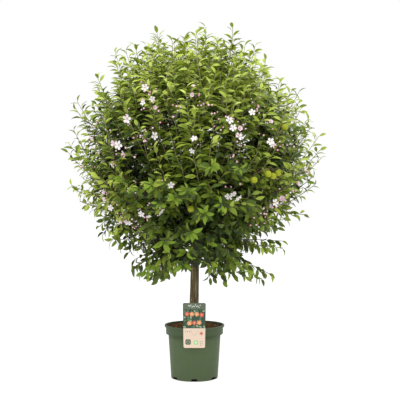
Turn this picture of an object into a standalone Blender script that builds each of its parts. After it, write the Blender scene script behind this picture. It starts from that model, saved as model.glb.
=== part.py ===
"""Potted apple tree: a half-standard with a round crown in blossom, in a green nursery pot.

Metres, +Z up. The origin is the centre of the pot's flat underside, and -Y is the side
that the plant label hangs on. Every limb and every mass of foliage is its own object.
"""

import math
import random

import bmesh
import bpy
from mathutils import Matrix, Vector, noise
from mathutils.bvhtree import BVHTree

UP = Vector((0, 0, 1))
CLEARANCE = 0.0003  # between pieces that touch on the real plant
GOLDEN_ANGLE = math.radians(137.508)

# Pot, a thrown-in-one nursery pot with a stepped band under its rim
POT_HEIGHT = 0.211
RIM_RADIUS = 0.119
RIM_DEPTH = 0.007
BAND_RADIUS = 0.1145
BAND_HEIGHT = 0.031
SHOULDER_RADIUS = 0.1040
SHOULDER_DROP = 0.005
BASE_RADIUS = 0.091
BASE_ROUND = 0.004
WALL = 0.0018
POT_STEPS = 36
NOTCHES = 6
NOTCH_SIZE = (0.022, 0.020, 0.008)  # along the wall, through it and up

# Potting soil
SOIL_EDGE_LEVEL = 0.2020
SOIL_MOUND = 0.0035
SOIL_SEAT_RADIUS = 0.032  # flat, for the trunk's foot
SOIL_LUMP = 0.0016

# Plant label, a card that hooks over the rim
LABEL_TOP_WIDTH = 0.089
LABEL_FOOT_WIDTH = 0.083
LABEL_TOP = 0.311
LABEL_FOOT = 0.137
LABEL_CORNER = 0.006
LABEL_THICKNESS = 0.0008
HOOK_WIDTH = 0.026
HOOK_DEPTH = 0.0065

# Trunk
TRUNK_RADIUS = 0.0184
TRUNK_TOP = 0.735
TRUNK_TOP_SHARE = 0.66  # of the radius that is left at the fork
FLARE = 0.45
FLARE_FALL = 0.016
TRUNK_SWAY = 0.0022
TRUNK_POINTS = 14
TRUNK_SIDES = 12

# Crown: a ball of foliage, with a skirt of sprays that hang lower
CROWN_CENTRE = Vector((0, 0, 0.908))
CROWN_REACH = 0.526
SKIRT_REACH = 0.066
SKIRT_FROM = 0.80  # of the way down, as the sine of the angle below level
UNEVEN = 0.022

# Where the crown bulges and where it falls short, seen from the front: angle up from the right, and how far
LOBES = ((45, -0.055), (82, 0.018), (108, -0.012), (150, -0.016), (225, 0.022), (300, 0.020), (318, 0.022))
LOBE_FOCUS = 14  # how closely a lobe keeps to its angle

# Rings of masses: how many, their height angle, the first one's turn, and where their boughs run
#   (count, elevation, turn, lowest start on the trunk, tip's distance out, tip's height)
MASS_RINGS = {
    "top": (1, 90, 0, TRUNK_TOP, 0.0, 1.060),
    "upper": (4, 38, 20, 0.664, 0.135, 1.010),
    "middle": (5, 0, -18, 0.574, 0.205, 0.885),
    "lower": (4, -40, 50, 0.490, 0.185, 0.640),
}
START_SPACING = 0.016
BOUGH_RADIUS = 0.0082
BOUGH_TIP_RADIUS = 0.0046
BOUGH_RISE = 0.75  # slope at which a bough leaves the trunk
BOUGH_POINTS = 6
BOUGH_SIDES = 8

# Shoots and leaves
SHOOTS = 87
SHOOT_LENGTH = 0.21
SHOOT_RADIUS = 0.0026
SHOOT_TIP_RADIUS = 0.0013
SHOOT_STEPS = 2
SHOOT_SHORT = 0.082  # how far a shoot's wood stays inside the outline
SHORTEST_SHOOT = 0.93
STEM_STEPS = 4
STEM_REACH = 0.68  # of the crown's reach
UNDERSIDE = -0.965  # no shoot ends closer to straight down than this, as a sine
TIP_ALLOWANCE = 0.014
LEAF_LENGTH = 0.132
LEAF_WIDTH = 0.066
LEAF_THICKNESS = 0.0022
LEAF_SPREAD = math.radians(56)
LEAF_FOLD = 0.30
LEAF_ARCH = 0.10
LEAF_SINK = 0.0002  # past the twig's middle line
LEAF_SAG = 0.22
LEAVES_A_SHOOT = 6
LEAVES_FROM = 0.34  # of the shoot's length
TURNS_TRIED = 10  # places round the shoot that a leaf is tried at before it is skipped
SPACE_MARGIN = 0.0006  # kept on each side of the border between two masses
LIMB_MARGIN = 0.0015
BLOSSOM_RADIUS = 0.018
BLOSSOM_HEIGHT = 0.016
BLOSSOM_EVERY = 4  # shoots
APPLE_RADIUS = 0.0130
APPLE_HEADINGS = ((-55, -12), (-32, 14), (-95, -30), (40, -8), (120, 12), (200, -15))  # azimuth and elevation
SEED = 21


def clear_scene():
    for old in list(bpy.data.objects):
        bpy.data.objects.remove(old)


def new_collection(name):
    made = bpy.data.collections.new(name)
    bpy.context.scene.collection.children.link(made)
    return made


def plain_material(name, colour, roughness):
    """A Principled BSDF in one colour, with no metal in it."""
    made = bpy.data.materials.new(name)
    made.use_nodes = True
    shader = made.node_tree.nodes["Principled BSDF"]
    shader.inputs["Base Color"].default_value = (*colour, 1)
    shader.inputs["Roughness"].default_value = roughness
    shader.inputs["Metallic"].default_value = 0
    return made


def mesh_object(name, bm, collection, material=None):
    """An object from a bmesh, which is freed."""
    mesh = bpy.data.meshes.new(name)
    bm.to_mesh(mesh)
    bm.free()
    made = bpy.data.objects.new(name, mesh)
    collection.objects.link(made)
    if material:
        mesh.materials.append(material)
    return made


def made_mesh(source, name):
    """Replaces an object by the mesh that its modifiers or its curve make, with loose caps welded."""
    bpy.context.view_layer.update()
    evaluated = source.evaluated_get(bpy.context.evaluated_depsgraph_get())
    mesh = bpy.data.meshes.new_from_object(evaluated)
    bm = bmesh.new()
    bm.from_mesh(mesh)
    bmesh.ops.remove_doubles(bm, verts=bm.verts, dist=1e-6)
    bm.to_mesh(mesh)
    bm.free()
    made = bpy.data.objects.new(name, mesh)
    made.matrix_world = source.matrix_world
    for collection in source.users_collection:
        collection.objects.link(made)
    bpy.data.objects.remove(source)
    made.name = name
    return made


def turned(name, profile, collection, material):
    """A profile of (radius, height) points turned round Z by a Screw modifier."""
    bm = bmesh.new()
    corners = [bm.verts.new((radius, 0, height)) for radius, height in profile]
    for first, second in zip(corners, corners[1:]):
        bm.edges.new((first, second))
    made = mesh_object(name, bm, collection, material)
    screw = made.modifiers.new("turn", "SCREW")
    screw.steps = screw.render_steps = POT_STEPS
    screw.use_merge_vertices = True
    screw.merge_threshold = 0.00005
    screw.use_smooth_shade = False
    return made


def cut(target, cutter, cutters):
    """Takes the cutter out of the target, and keeps it as a hidden helper."""
    for collection in cutter.users_collection:
        collection.objects.unlink(cutter)
    cutters.objects.link(cutter)
    cutter.hide_render = True
    cutter.display_type = "WIRE"
    boolean = target.modifiers.new("cut", "BOOLEAN")
    boolean.operation = "DIFFERENCE"
    boolean.object = cutter


def wall_radius(height):
    """Outer radius of the pot's tapering wall at a height below the band."""
    top = POT_HEIGHT - BAND_HEIGHT - SHOULDER_DROP
    return BASE_RADIUS + (SHOULDER_RADIUS - BASE_RADIUS) * height / top


def inner_profile():
    """Inner side of the pot from the middle of its floor up to its rim, as (radius, height)."""
    shoulder = POT_HEIGHT - BAND_HEIGHT - SHOULDER_DROP
    return [
        (0, WALL),
        (wall_radius(WALL) - WALL, WALL),
        (wall_radius(shoulder) - WALL, shoulder),
        (BAND_RADIUS - WALL, shoulder + SHOULDER_DROP),
        (BAND_RADIUS - WALL, POT_HEIGHT),
    ]


def build_pot(collection, cutters, material):
    shoulder = POT_HEIGHT - BAND_HEIGHT - SHOULDER_DROP
    outer = [
        (RIM_RADIUS - 0.001, POT_HEIGHT),
        (RIM_RADIUS, POT_HEIGHT - 0.001),
        (RIM_RADIUS, POT_HEIGHT - RIM_DEPTH + 0.001),
        (RIM_RADIUS - 0.001, POT_HEIGHT - RIM_DEPTH),
        (BAND_RADIUS, POT_HEIGHT - RIM_DEPTH - 0.001),
        (BAND_RADIUS - 0.0008, shoulder + SHOULDER_DROP),
        (SHOULDER_RADIUS, shoulder),
        (wall_radius(BASE_ROUND), BASE_ROUND),
        (BASE_RADIUS - 0.3 * BASE_ROUND, 0.3 * BASE_ROUND),
        (BASE_RADIUS - BASE_ROUND, 0),
        (0, 0),
    ]
    pot = turned("pot", inner_profile() + outer, collection, material)
    pot = made_mesh(pot, "pot")
    for k in range(NOTCHES):
        along, through, height = NOTCH_SIZE
        bm = bmesh.new()
        bmesh.ops.create_cube(bm, size=1, matrix=Matrix.Diagonal((along, through, 2 * height, 1)))
        notch = mesh_object(f"notch_{k}", bm, collection)
        turn = Matrix.Rotation(k * math.tau / NOTCHES, 4, "Z")
        notch.matrix_world = turn @ Matrix.Translation((0, -BASE_RADIUS + 0.2 * through, 0))
        cut(pot, notch, cutters)
    return pot


def soil_height(radius):
    """Mean level of the soil, a low mound that is flat under the trunk."""
    edge = BAND_RADIUS - WALL
    fall = max(0.0, (radius - SOIL_SEAT_RADIUS) / (edge - SOIL_SEAT_RADIUS))
    return SOIL_EDGE_LEVEL + SOIL_MOUND * (1 - fall)


def build_soil(collection, material):
    """Fills the pot to just under its rim, with lumps on top."""
    shoulder = POT_HEIGHT - BAND_HEIGHT - SHOULDER_DROP
    edge = BAND_RADIUS - WALL - CLEARANCE
    top = [(r, soil_height(r)) for r in (0, SOIL_SEAT_RADIUS, 0.052, 0.074, 0.094)]
    sides = [
        (edge, SOIL_EDGE_LEVEL),
        (edge, shoulder + SHOULDER_DROP),
        (wall_radius(shoulder) - WALL - CLEARANCE, shoulder + CLEARANCE),
        (wall_radius(0) - WALL - CLEARANCE, WALL + CLEARANCE),
        (0, WALL + CLEARANCE),
    ]
    soil = made_mesh(turned("soil", top + sides, collection, material), "soil")
    for corner in soil.data.vertices:
        radius = corner.co.xy.length
        if corner.co.z > SOIL_EDGE_LEVEL - CLEARANCE and SOIL_SEAT_RADIUS + 0.001 < radius < edge - 0.001:
            corner.co.z += SOIL_LUMP * noise.noise(corner.co * 60)
    return soil


def label_outline():
    """Outline of the card in its own plane, x across and y up, with rounded corners."""
    points = []
    for side_x, height, start in ((1, LABEL_TOP, 0), (-1, LABEL_TOP, 90), (-1, LABEL_FOOT, 180), (1, LABEL_FOOT, 270)):
        width = LABEL_TOP_WIDTH if height == LABEL_TOP else LABEL_FOOT_WIDTH
        inset = -LABEL_CORNER if height == LABEL_TOP else LABEL_CORNER
        centre = Vector((side_x * (width / 2 - LABEL_CORNER), height + inset))
        for step in range(5):
            angle = math.radians(start + step * 22.5)
            points.append(centre + LABEL_CORNER * Vector((math.cos(angle), math.sin(angle))))
    return points


def prism(name, outline, frame, depth, collection, material=None):
    """A flat outline given a depth: a filled 2D curve, extruded, made a mesh and placed by frame."""
    curve = bpy.data.curves.new(name, "CURVE")
    curve.dimensions = "2D"
    curve.fill_mode = "BOTH"
    curve.extrude = depth / 2
    spline = curve.splines.new("POLY")
    spline.points.add(len(outline) - 1)
    for point, (x, y) in zip(spline.points, outline):
        point.co = (x, y, 0, 1)
    spline.use_cyclic_u = True
    flat = bpy.data.objects.new(name, curve)
    collection.objects.link(flat)
    flat.matrix_world = frame
    made = made_mesh(flat, name)
    if material:
        made.data.materials.append(material)
    return made


def build_label(collection, cutters, material):
    """The card in front of the rim, and the hook on its back that goes over the rim and down inside it."""
    back = -(RIM_RADIUS + CLEARANCE)
    upright = Matrix.Translation((0, back - LABEL_THICKNESS / 2, 0)) @ Matrix.Rotation(math.pi / 2, 4, "X")
    label = prism("plant_label", label_outline(), upright, LABEL_THICKNESS, collection, material)
    inside = -(BAND_RADIUS - WALL - 0.0025)
    over = POT_HEIGHT + CLEARANCE
    thick = LABEL_THICKNESS
    hook_outline = [
        (back - thick / 2, over),
        (back - thick / 2, over + 3 * thick),
        (inside + thick, over + thick),
        (inside + thick, over - HOOK_DEPTH),
        (inside, over - HOOK_DEPTH),
        (inside, over),
    ]
    sideways = Matrix(((0, 0, 1, 0), (1, 0, 0, 0), (0, 1, 0, 0), (0, 0, 0, 1)))
    hook = prism("hook", hook_outline, sideways, HOOK_WIDTH, collection)
    join = label.modifiers.new("hook", "BOOLEAN")
    join.operation = "UNION"
    join.object = hook
    collection.objects.unlink(hook)
    cutters.objects.link(hook)
    hook.hide_render = True
    hook.display_type = "WIRE"
    return label


def trunk_point(height):
    """Centre of the trunk at a height: upright at its foot, with a slow sway above."""
    rise = max(0.0, height - SOIL_EDGE_LEVEL - 0.04)
    return Vector((TRUNK_SWAY * math.sin(rise * 9), TRUNK_SWAY * math.sin(rise * 6 + 1) * min(1, rise * 8), height))


def trunk_radius(height):
    foot = SOIL_EDGE_LEVEL + SOIL_MOUND
    above = max(0.0, height - foot)
    taper = 1 - (1 - TRUNK_TOP_SHARE) * (above / (TRUNK_TOP - foot)) ** 1.4
    return TRUNK_RADIUS * (taper + FLARE * math.exp(-above / FLARE_FALL))


def tube(name, points, radii, sides, collection, material=None):
    """A tapering limb: a curve with a round bevel and filled caps."""
    curve = bpy.data.curves.new(name, "CURVE")
    curve.dimensions = "3D"
    curve.bevel_depth = 1
    curve.bevel_resolution = sides // 2 - 2
    curve.use_fill_caps = True
    spline = curve.splines.new("POLY")
    spline.points.add(len(points) - 1)
    for corner, point, radius in zip(spline.points, points, radii):
        corner.co = (*point, 1)
        corner.radius = radius
    made = bpy.data.objects.new(name, curve)
    collection.objects.link(made)
    if material:
        curve.materials.append(material)
    return made


def trunk_line():
    """Points up the trunk, closer together in its root flare, and the radius at each."""
    foot = SOIL_EDGE_LEVEL + SOIL_MOUND + CLEARANCE
    flare_heights = [foot, foot + 0.007, foot + 0.018, foot + 0.034]
    rest = TRUNK_POINTS - len(flare_heights)
    above = [flare_heights[-1] + (TRUNK_TOP - flare_heights[-1]) * (k + 1) / rest for k in range(rest)]
    heights = flare_heights + above
    return [trunk_point(z) for z in heights], [trunk_radius(z) for z in heights]


def trunk_tube(name, extra, collection, material=None):
    """The trunk, or the same shape a little fatter as a cutter."""
    points, radii = trunk_line()
    return tube(name, points, [radius + extra for radius in radii], TRUNK_SIDES, collection, material)


def bezier(start, bend, end, share):
    return start * (1 - share) ** 2 + bend * (2 * share * (1 - share)) + end * share**2


def heading(azimuth, elevation):
    """Unit vector at angles in degrees, azimuth from +X towards +Y."""
    a, e = math.radians(azimuth), math.radians(elevation)
    return Vector((math.cos(a) * math.cos(e), math.sin(a) * math.cos(e), math.sin(e)))


def mass_plan():
    """One entry for each mass: its name, ring, direction from the crown's centre, and its bough's line."""
    plan = []
    for ring, (count, elevation, turn, lowest, tip_out, tip_height) in MASS_RINGS.items():
        for k in range(count):
            azimuth = turn + 360 * k / count
            start = trunk_point(lowest + START_SPACING * ((k * 2) % count))
            level = heading(azimuth, 0)
            tip = level * tip_out + UP * tip_height
            if ring == "top":
                start = trunk_point(TRUNK_TOP) + UP * CLEARANCE
                bend = start + UP * 0.12
            else:
                bend = start + (level + UP * BOUGH_RISE) * tip_out * 0.55
            name = ring if count == 1 else f"{ring}_{k + 1}"
            shares = [j / (BOUGH_POINTS - 1) for j in range(BOUGH_POINTS)]
            line = [bezier(start, bend, tip, share) for share in shares]
            plan.append({"name": name, "ring": ring, "direction": heading(azimuth, elevation), "line": line})
    return plan


def build_boughs(plan, collection, cutters, material):
    """One tapering limb for each mass, cut to meet the trunk's side 0.3 mm clear of it."""
    trunk_cutter = made_mesh(trunk_tube("trunk_cutter", CLEARANCE, cutters), "trunk_cutter")
    trunk_cutter.hide_render = True
    trunk_cutter.display_type = "WIRE"
    for mass in plan:
        line = mass["line"]
        base = trunk_radius(TRUNK_TOP) if mass["ring"] == "top" else BOUGH_RADIUS
        shares = [k / (len(line) - 1) for k in range(len(line))]
        radii = [base + (BOUGH_TIP_RADIUS - base) * share**0.8 for share in shares]
        mass["radii"] = radii
        limb = tube(f"bough_{mass['name']}", line, radii, BOUGH_SIDES, collection, material)
        limb = made_mesh(limb, f"bough_{mass['name']}")
        if mass["ring"] != "top":
            boolean = limb.modifiers.new("meet_trunk", "BOOLEAN")
            boolean.operation = "DIFFERENCE"
            boolean.object = trunk_cutter


def smooth(value):
    held = min(1.0, max(0.0, value))
    return held * held * (3 - 2 * held)


def reach(direction):
    """How far the crown goes from its centre along a direction."""
    skirt = SKIRT_REACH * smooth((-direction.z - SKIRT_FROM) / 0.10)
    lobes = sum(rise * math.exp(LOBE_FOCUS * (direction.dot(heading(0, angle)) - 1)) for angle, rise in LOBES)
    return CROWN_REACH + skirt + lobes + UNEVEN * noise.noise(direction * 2.3 + UP * 5)


def growing_way(direction):
    """Which way a shoot points at its tip: outwards and up, and nearly level in the skirt."""
    lift = 0.42 + 0.42 * smooth((-direction.z - 0.35) / 0.5)
    return (direction + UP * lift).normalized()


def sphere_directions(count):
    """Directions spread evenly over a sphere along a golden spiral."""
    for k in range(count):
        z = 1 - (2 * k + 1) / count
        level = math.sqrt(1 - z * z)
        yield Vector((level * math.cos(k * GOLDEN_ANGLE), level * math.sin(k * GOLDEN_ANGLE), z))


class Mass:
    """One mass of foliage: its room in the crown, and the pieces that have grown in it so far.

    The room is the mass's own cell of the crown, inside the outline and clear of every limb.
    """

    def __init__(self, entry, plan, limb_trees):
        self.name = entry["name"]
        self.line = entry["line"]
        self.direction = entry["direction"]
        others = [other["direction"] for other in plan if other is not entry]
        self.borders = [(self.direction - other).normalized() for other in others]
        self.limb_trees = limb_trees
        self.pieces = []
        self.trees = []

    def has_room_for(self, point):
        out = point - CROWN_CENTRE
        if any(out.dot(border) < SPACE_MARGIN for border in self.borders):
            return False
        return out.length < reach(out.normalized()) + TIP_ALLOWANCE

    def take(self, piece):
        self.pieces.append(piece)
        self.trees.append(BVHTree.FromBMesh(piece))

    def take_if_clear(self, piece, may_cross):
        """Takes a piece in unless it leaves the room, touches a limb or crosses another piece.

        It may cross the pieces whose trees are in may_cross. Says whether the piece was taken.
        """
        clear = all(self.has_room_for(corner.co) for corner in piece.verts)
        if clear:
            tree = BVHTree.FromBMesh(piece)
            others = [other for other in self.trees if other not in may_cross]
            clear = not any(tree.overlap(other) for other in self.limb_trees + others)
        if clear:
            self.pieces.append(piece)
            self.trees.append(tree)
        else:
            piece.free()
        return clear


def any_side(direction):
    """A unit vector square to a direction."""
    helper = UP if abs(direction.z) < 0.9 else Vector((1, 0, 0))
    return direction.cross(helper).normalized()


def twig_solid(points, radii):
    """A three-sided tapering twig through the points, closed at both ends."""
    bm = bmesh.new()
    rings = []
    side = any_side(points[1] - points[0])
    for k, (point, radius) in enumerate(zip(points, radii)):
        way = (points[min(k + 1, len(points) - 1)] - points[max(k - 1, 0)]).normalized()
        side = (side - way * side.dot(way)).normalized()
        corners = [Matrix.Rotation(math.tau * j / 3, 3, way) @ side * radius + point for j in range(3)]
        rings.append([bm.verts.new(corner) for corner in corners])
    for lower, higher in zip(rings, rings[1:]):
        for j in range(3):
            bm.faces.new((lower[j], lower[(j + 1) % 3], higher[(j + 1) % 3], higher[j]))
    bm.faces.new(rings[0][::-1])
    bm.faces.new(rings[-1])
    return bm


def leaf_corners(root, along, face, length):
    """Base, left, tip, right, and the midrib's upper and lower point of a folded, arching leaf."""
    side = along.cross(face).normalized()
    half = LEAF_WIDTH / LEAF_LENGTH * length / 2
    middle = root + along * (0.46 * length) + face * (LEAF_ARCH * length)
    raised = face * (LEAF_FOLD * half)
    thick = face * (LEAF_THICKNESS / 2)
    tip = root + along * length - face * (LEAF_ARCH * length)
    base = root - along * LEAF_SINK
    return [base, middle - side * half + raised, tip, middle + side * half + raised, middle + thick, middle - thick]


def leaf_solid(corners):
    """A closed leaf of eight faces."""
    bm = bmesh.new()
    base, left, tip, right, top, under = [bm.verts.new(corner) for corner in corners]
    rim = [base, right, tip, left]
    for first, second in zip(rim, rim[1:] + rim[:1]):
        bm.faces.new((first, second, top))
        bm.faces.new((second, first, under))
    return bm


def blossom_solid(root, face):
    """Five petals as a shallow cup on a stalk that runs down into the twig."""
    bm = bmesh.new()
    side = any_side(face)
    centre = root + face * BLOSSOM_HEIGHT
    rim = []
    for k in range(5):
        spoke = Matrix.Rotation(math.tau * k / 5, 3, face) @ side
        rim.append(bm.verts.new(centre + (spoke + face * 0.3) * BLOSSOM_RADIUS))
    heart = bm.verts.new(centre)
    stalk = bm.verts.new(root - face * LEAF_SINK)
    for first, second in zip(rim, rim[1:] + rim[:1]):
        bm.faces.new((first, second, heart))
        bm.faces.new((second, first, stalk))
    return bm


def apple_solid(root):
    """A small green apple that hangs from the twig."""
    bm = bmesh.new()
    centre = Matrix.Translation(root - UP * (APPLE_RADIUS - 0.0022))
    bmesh.ops.create_uvsphere(bm, u_segments=8, v_segments=5, radius=APPLE_RADIUS, matrix=centre)
    return bm


def leaf_way(shoot_way, turn, spread):
    """The direction of a leaf that stands off its shoot, sinking a little under its own weight."""
    side = Matrix.Rotation(turn, 3, shoot_way) @ any_side(shoot_way)
    along = shoot_way * math.cos(spread) + side * math.sin(spread)
    return (along - UP * LEAF_SAG).normalized()


def leaf_face(root, along, shoot_way):
    """The way the upper side looks: to the light above and outside, and to the shoot's tip."""
    wanted = UP * 0.45 + (root - CROWN_CENTRE).normalized() * 0.6 + shoot_way * 0.3
    face = wanted - along * wanted.dot(along)
    return face.normalized() if face.length > 0.05 else any_side(along)


def grow_stem(mass):
    """The stem that carries on from the bough's tip, and the places on it that shoots can start from."""
    way = (mass.line[-1] - mass.line[-2]).normalized()
    foot = mass.line[-1] + way * CLEARANCE
    goal = CROWN_CENTRE + mass.direction * (STEM_REACH * reach(mass.direction))
    bend = foot + way * ((goal - foot).length * 0.45)
    points = [foot] + [bezier(foot + way * 0.01, bend, goal, k / STEM_STEPS) for k in range(STEM_STEPS + 1)]
    radii = [BOUGH_TIP_RADIUS * (1 - 0.55 * k / STEM_STEPS) for k in range(STEM_STEPS + 2)]
    mass.take(twig_solid(points, radii))
    return list(zip(points[2:], radii[2:]))


def grow_shoots(mass, directions, rng):
    """Shoots that end all over the mass's share of the crown's surface, each from the nearest wood."""
    wood = grow_stem(mass)
    wanted = []
    for direction in directions:
        tip = CROWN_CENTRE + direction * (reach(direction) - SHOOT_SHORT) * rng.uniform(SHORTEST_SHOOT, 1.0)
        wanted.append((tip - growing_way(direction) * SHOOT_LENGTH, tip, growing_way(direction)))
    wanted.sort(key=lambda entry: (entry[0] - mass.line[-1]).length)
    shoots = []
    for base, tip, way in wanted:
        start, start_radius = min(wood, key=lambda place: (place[0] - base).length)
        bend = base.lerp(start, 0.35) + way * 0.02
        points = [bezier(start, bend, tip, k / SHOOT_STEPS) for k in range(SHOOT_STEPS + 1)]
        radii = [SHOOT_RADIUS + (SHOOT_TIP_RADIUS - SHOOT_RADIUS) * k / SHOOT_STEPS for k in range(SHOOT_STEPS + 1)]
        radii[0] = min(SHOOT_RADIUS, start_radius * 0.45)
        if mass.take_if_clear(twig_solid(points, radii), mass.trees):
            wood += list(zip(points[1:-1], radii[1:-1]))
            shoots.append((points, mass.trees[-1]))
    return shoots


def point_on(points, share):
    """A point part of the way along a line, and which way the line runs there."""
    place = share * (len(points) - 1)
    step = min(int(place), len(points) - 2)
    return points[step].lerp(points[step + 1], place - step), (points[step + 1] - points[step]).normalized()


def grow_leaves(mass, points, own, rng):
    """Leaves in a spiral up the outer part of a shoot, the last of them at its tip."""
    turn = rng.uniform(0, math.tau)
    for k in range(LEAVES_A_SHOOT):
        last = k == LEAVES_A_SHOOT - 1
        root, way = point_on(points, LEAVES_FROM + (0.99 - LEAVES_FROM) * k / (LEAVES_A_SHOOT - 1))
        length = LEAF_LENGTH * rng.uniform(0.85, 1.08) * (0.85 if last else 1)
        spread = LEAF_SPREAD * (0.3 if last else rng.uniform(0.85, 1.2))
        for attempt in range(TURNS_TRIED):
            along = leaf_way(way, turn + attempt * GOLDEN_ANGLE, spread)
            shrunk = length * (1 - 0.35 * attempt / TURNS_TRIED)
            corners = leaf_corners(root, along, leaf_face(root, along, way), shrunk)
            if mass.take_if_clear(leaf_solid(corners), [own]):
                break
        turn += GOLDEN_ANGLE


def grow_blossom(mass, points, own):
    root, way = point_on(points, 0.62)
    face = ((root - CROWN_CENTRE).normalized() + UP * 0.3).normalized()
    mass.take_if_clear(blossom_solid(root, face), [own])


def grow_apple(mass, points, own):
    root, way = point_on(points, 0.5)
    mass.take_if_clear(apple_solid(root), [own])


def bearing_shoots(shoots, mass, plan):
    """The numbers of the mass's shoots that bear an apple: the nearest one to each apple's heading."""
    bearing = set()
    for azimuth, elevation in APPLE_HEADINGS:
        way = heading(azimuth, elevation)
        if max(plan, key=lambda entry: entry["direction"].dot(way))["direction"] == mass.direction:
            tips = [(points[-1] - CROWN_CENTRE).normalized().dot(way) for points, own in shoots]
            bearing.add(tips.index(max(tips)))
    return bearing


def largest_body(mesh):
    """Keeps the one body that the union made: loose scraps and sealed hollows go."""
    bm = bmesh.new()
    bm.from_mesh(mesh)
    bmesh.ops.triangulate(bm, faces=bm.faces)
    left = set(bm.faces)
    bodies = []
    while left:
        front = [left.pop()]
        body = set(front)
        while front:
            for edge in front.pop().edges:
                found = left.intersection(edge.link_faces)
                left -= found
                body |= found
                front += found
        bodies.append(body)

    def volume(body):
        corners = [[corner.co for corner in face.verts] for face in body]
        return sum(a.dot(b.cross(c)) for a, b, c in corners) / 6

    kept = max(bodies, key=volume)
    bmesh.ops.delete(bm, geom=[face for face in bm.faces if face not in kept], context="FACES")
    bm.to_mesh(mesh)
    bm.free()


def fuse(name, pieces, collection, material):
    """Joins a mass's stem, twigs, leaves and blossom into one solid by a single union."""
    base = mesh_object(name, pieces[0], collection, material)
    rest = new_collection(f"{name}_pieces")
    for k, piece in enumerate(pieces[1:]):
        mesh_object(f"{name}_piece_{k}", piece, rest)
    union = base.modifiers.new("fuse", "BOOLEAN")
    union.operation = "UNION"
    union.operand_type = "COLLECTION"
    union.collection = rest
    union.solver = "MANIFOLD"
    bpy.context.view_layer.update()
    evaluated = base.evaluated_get(bpy.context.evaluated_depsgraph_get())
    fused = bpy.data.meshes.new_from_object(evaluated)
    base.modifiers.remove(union)
    base.data = fused
    for piece in list(rest.objects):
        bpy.data.objects.remove(piece)
    bpy.data.collections.remove(rest)
    largest_body(fused)
    return base


def limb_tree(name, points, radii, sides, collection):
    """A search tree of a limb's surface, a little fatter than the limb."""
    fat = made_mesh(tube(name, points, [radius + LIMB_MARGIN for radius in radii], sides, collection), name)
    bm = bmesh.new()
    bm.from_mesh(fat.data)
    tree = BVHTree.FromBMesh(bm)
    bm.free()
    bpy.data.objects.remove(fat)
    return tree


def build_masses(plan, collection, material):
    limb_trees = [limb_tree("fat_trunk", *trunk_line(), TRUNK_SIDES, collection)]
    limb_trees += [limb_tree("fat_bough", entry["line"], entry["radii"], BOUGH_SIDES, collection) for entry in plan]
    shares = {entry["name"]: [] for entry in plan}
    for direction in sphere_directions(SHOOTS):
        nearest = max(plan, key=lambda entry: entry["direction"].dot(direction))
        if direction.z > UNDERSIDE:
            shares[nearest["name"]].append(direction)
    for number, entry in enumerate(plan):
        rng = random.Random(SEED + number)
        mass = Mass(entry, plan, limb_trees)
        shoots = grow_shoots(mass, shares[mass.name], rng)
        bearing = bearing_shoots(shoots, mass, plan)
        for k, (points, own) in enumerate(shoots):
            if k in bearing:
                grow_apple(mass, points, own)
            elif k % BLOSSOM_EVERY == 1:
                grow_blossom(mass, points, own)
            grow_leaves(mass, points, own, rng)
        fuse(f"foliage_{mass.name}", mass.pieces, collection, material)


def main():
    clear_scene()
    tree = new_collection("potted_apple_tree")
    cutters = new_collection("cutters")
    cutters.hide_render = True
    plastic = plain_material("green_plastic", (0.105, 0.150, 0.082), 0.42)
    earth = plain_material("potting_soil", (0.060, 0.030, 0.014), 0.95)
    card = plain_material("label_card", (0.80, 0.62, 0.50), 0.45)
    bark = plain_material("bark", (0.130, 0.095, 0.052), 0.85)
    leaves = plain_material("leaves", (0.110, 0.190, 0.030), 0.50)
    build_pot(tree, cutters, plastic)
    build_soil(tree, earth)
    build_label(tree, cutters, card)
    trunk_tube("trunk", 0.0, tree, bark)
    plan = mass_plan()
    build_boughs(plan, tree, cutters, bark)
    build_masses(plan, tree, leaves)


main()
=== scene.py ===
"""The looks of a potted apple tree in blossom: bark, shoots, leaves, flowers, apples, pot, soil and label.

Metres, +Z up, -Y the side with the plant label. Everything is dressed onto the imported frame.
"""

import functools
import math
import random
from collections import namedtuple

import bmesh
import bpy
import numpy as np
from bpy.props import FloatProperty, FloatVectorProperty, IntProperty, PointerProperty
from mathutils import Matrix, Vector, noise
from mathutils.kdtree import KDTree


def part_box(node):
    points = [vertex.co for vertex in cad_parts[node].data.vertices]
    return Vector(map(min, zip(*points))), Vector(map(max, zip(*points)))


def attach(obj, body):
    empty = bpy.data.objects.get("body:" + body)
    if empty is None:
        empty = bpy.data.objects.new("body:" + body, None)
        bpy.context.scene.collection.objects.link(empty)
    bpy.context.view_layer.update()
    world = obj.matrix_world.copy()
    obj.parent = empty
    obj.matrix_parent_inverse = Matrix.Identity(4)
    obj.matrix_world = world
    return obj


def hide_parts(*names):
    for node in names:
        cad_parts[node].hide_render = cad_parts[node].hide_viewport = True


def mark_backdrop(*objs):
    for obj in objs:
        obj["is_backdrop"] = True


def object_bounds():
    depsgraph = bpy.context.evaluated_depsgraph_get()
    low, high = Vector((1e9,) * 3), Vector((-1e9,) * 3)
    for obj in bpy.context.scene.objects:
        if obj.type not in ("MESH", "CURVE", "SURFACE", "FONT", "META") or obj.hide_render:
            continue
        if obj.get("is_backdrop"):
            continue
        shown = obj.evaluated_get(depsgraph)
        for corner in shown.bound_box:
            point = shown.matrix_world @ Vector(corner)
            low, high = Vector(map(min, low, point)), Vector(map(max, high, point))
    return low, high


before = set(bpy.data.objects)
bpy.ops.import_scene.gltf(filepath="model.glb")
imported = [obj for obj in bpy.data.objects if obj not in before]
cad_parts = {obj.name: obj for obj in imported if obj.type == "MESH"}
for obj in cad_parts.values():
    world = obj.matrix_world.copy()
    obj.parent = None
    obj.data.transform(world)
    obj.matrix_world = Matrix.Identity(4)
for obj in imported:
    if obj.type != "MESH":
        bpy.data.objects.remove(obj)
CAD_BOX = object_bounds()

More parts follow.
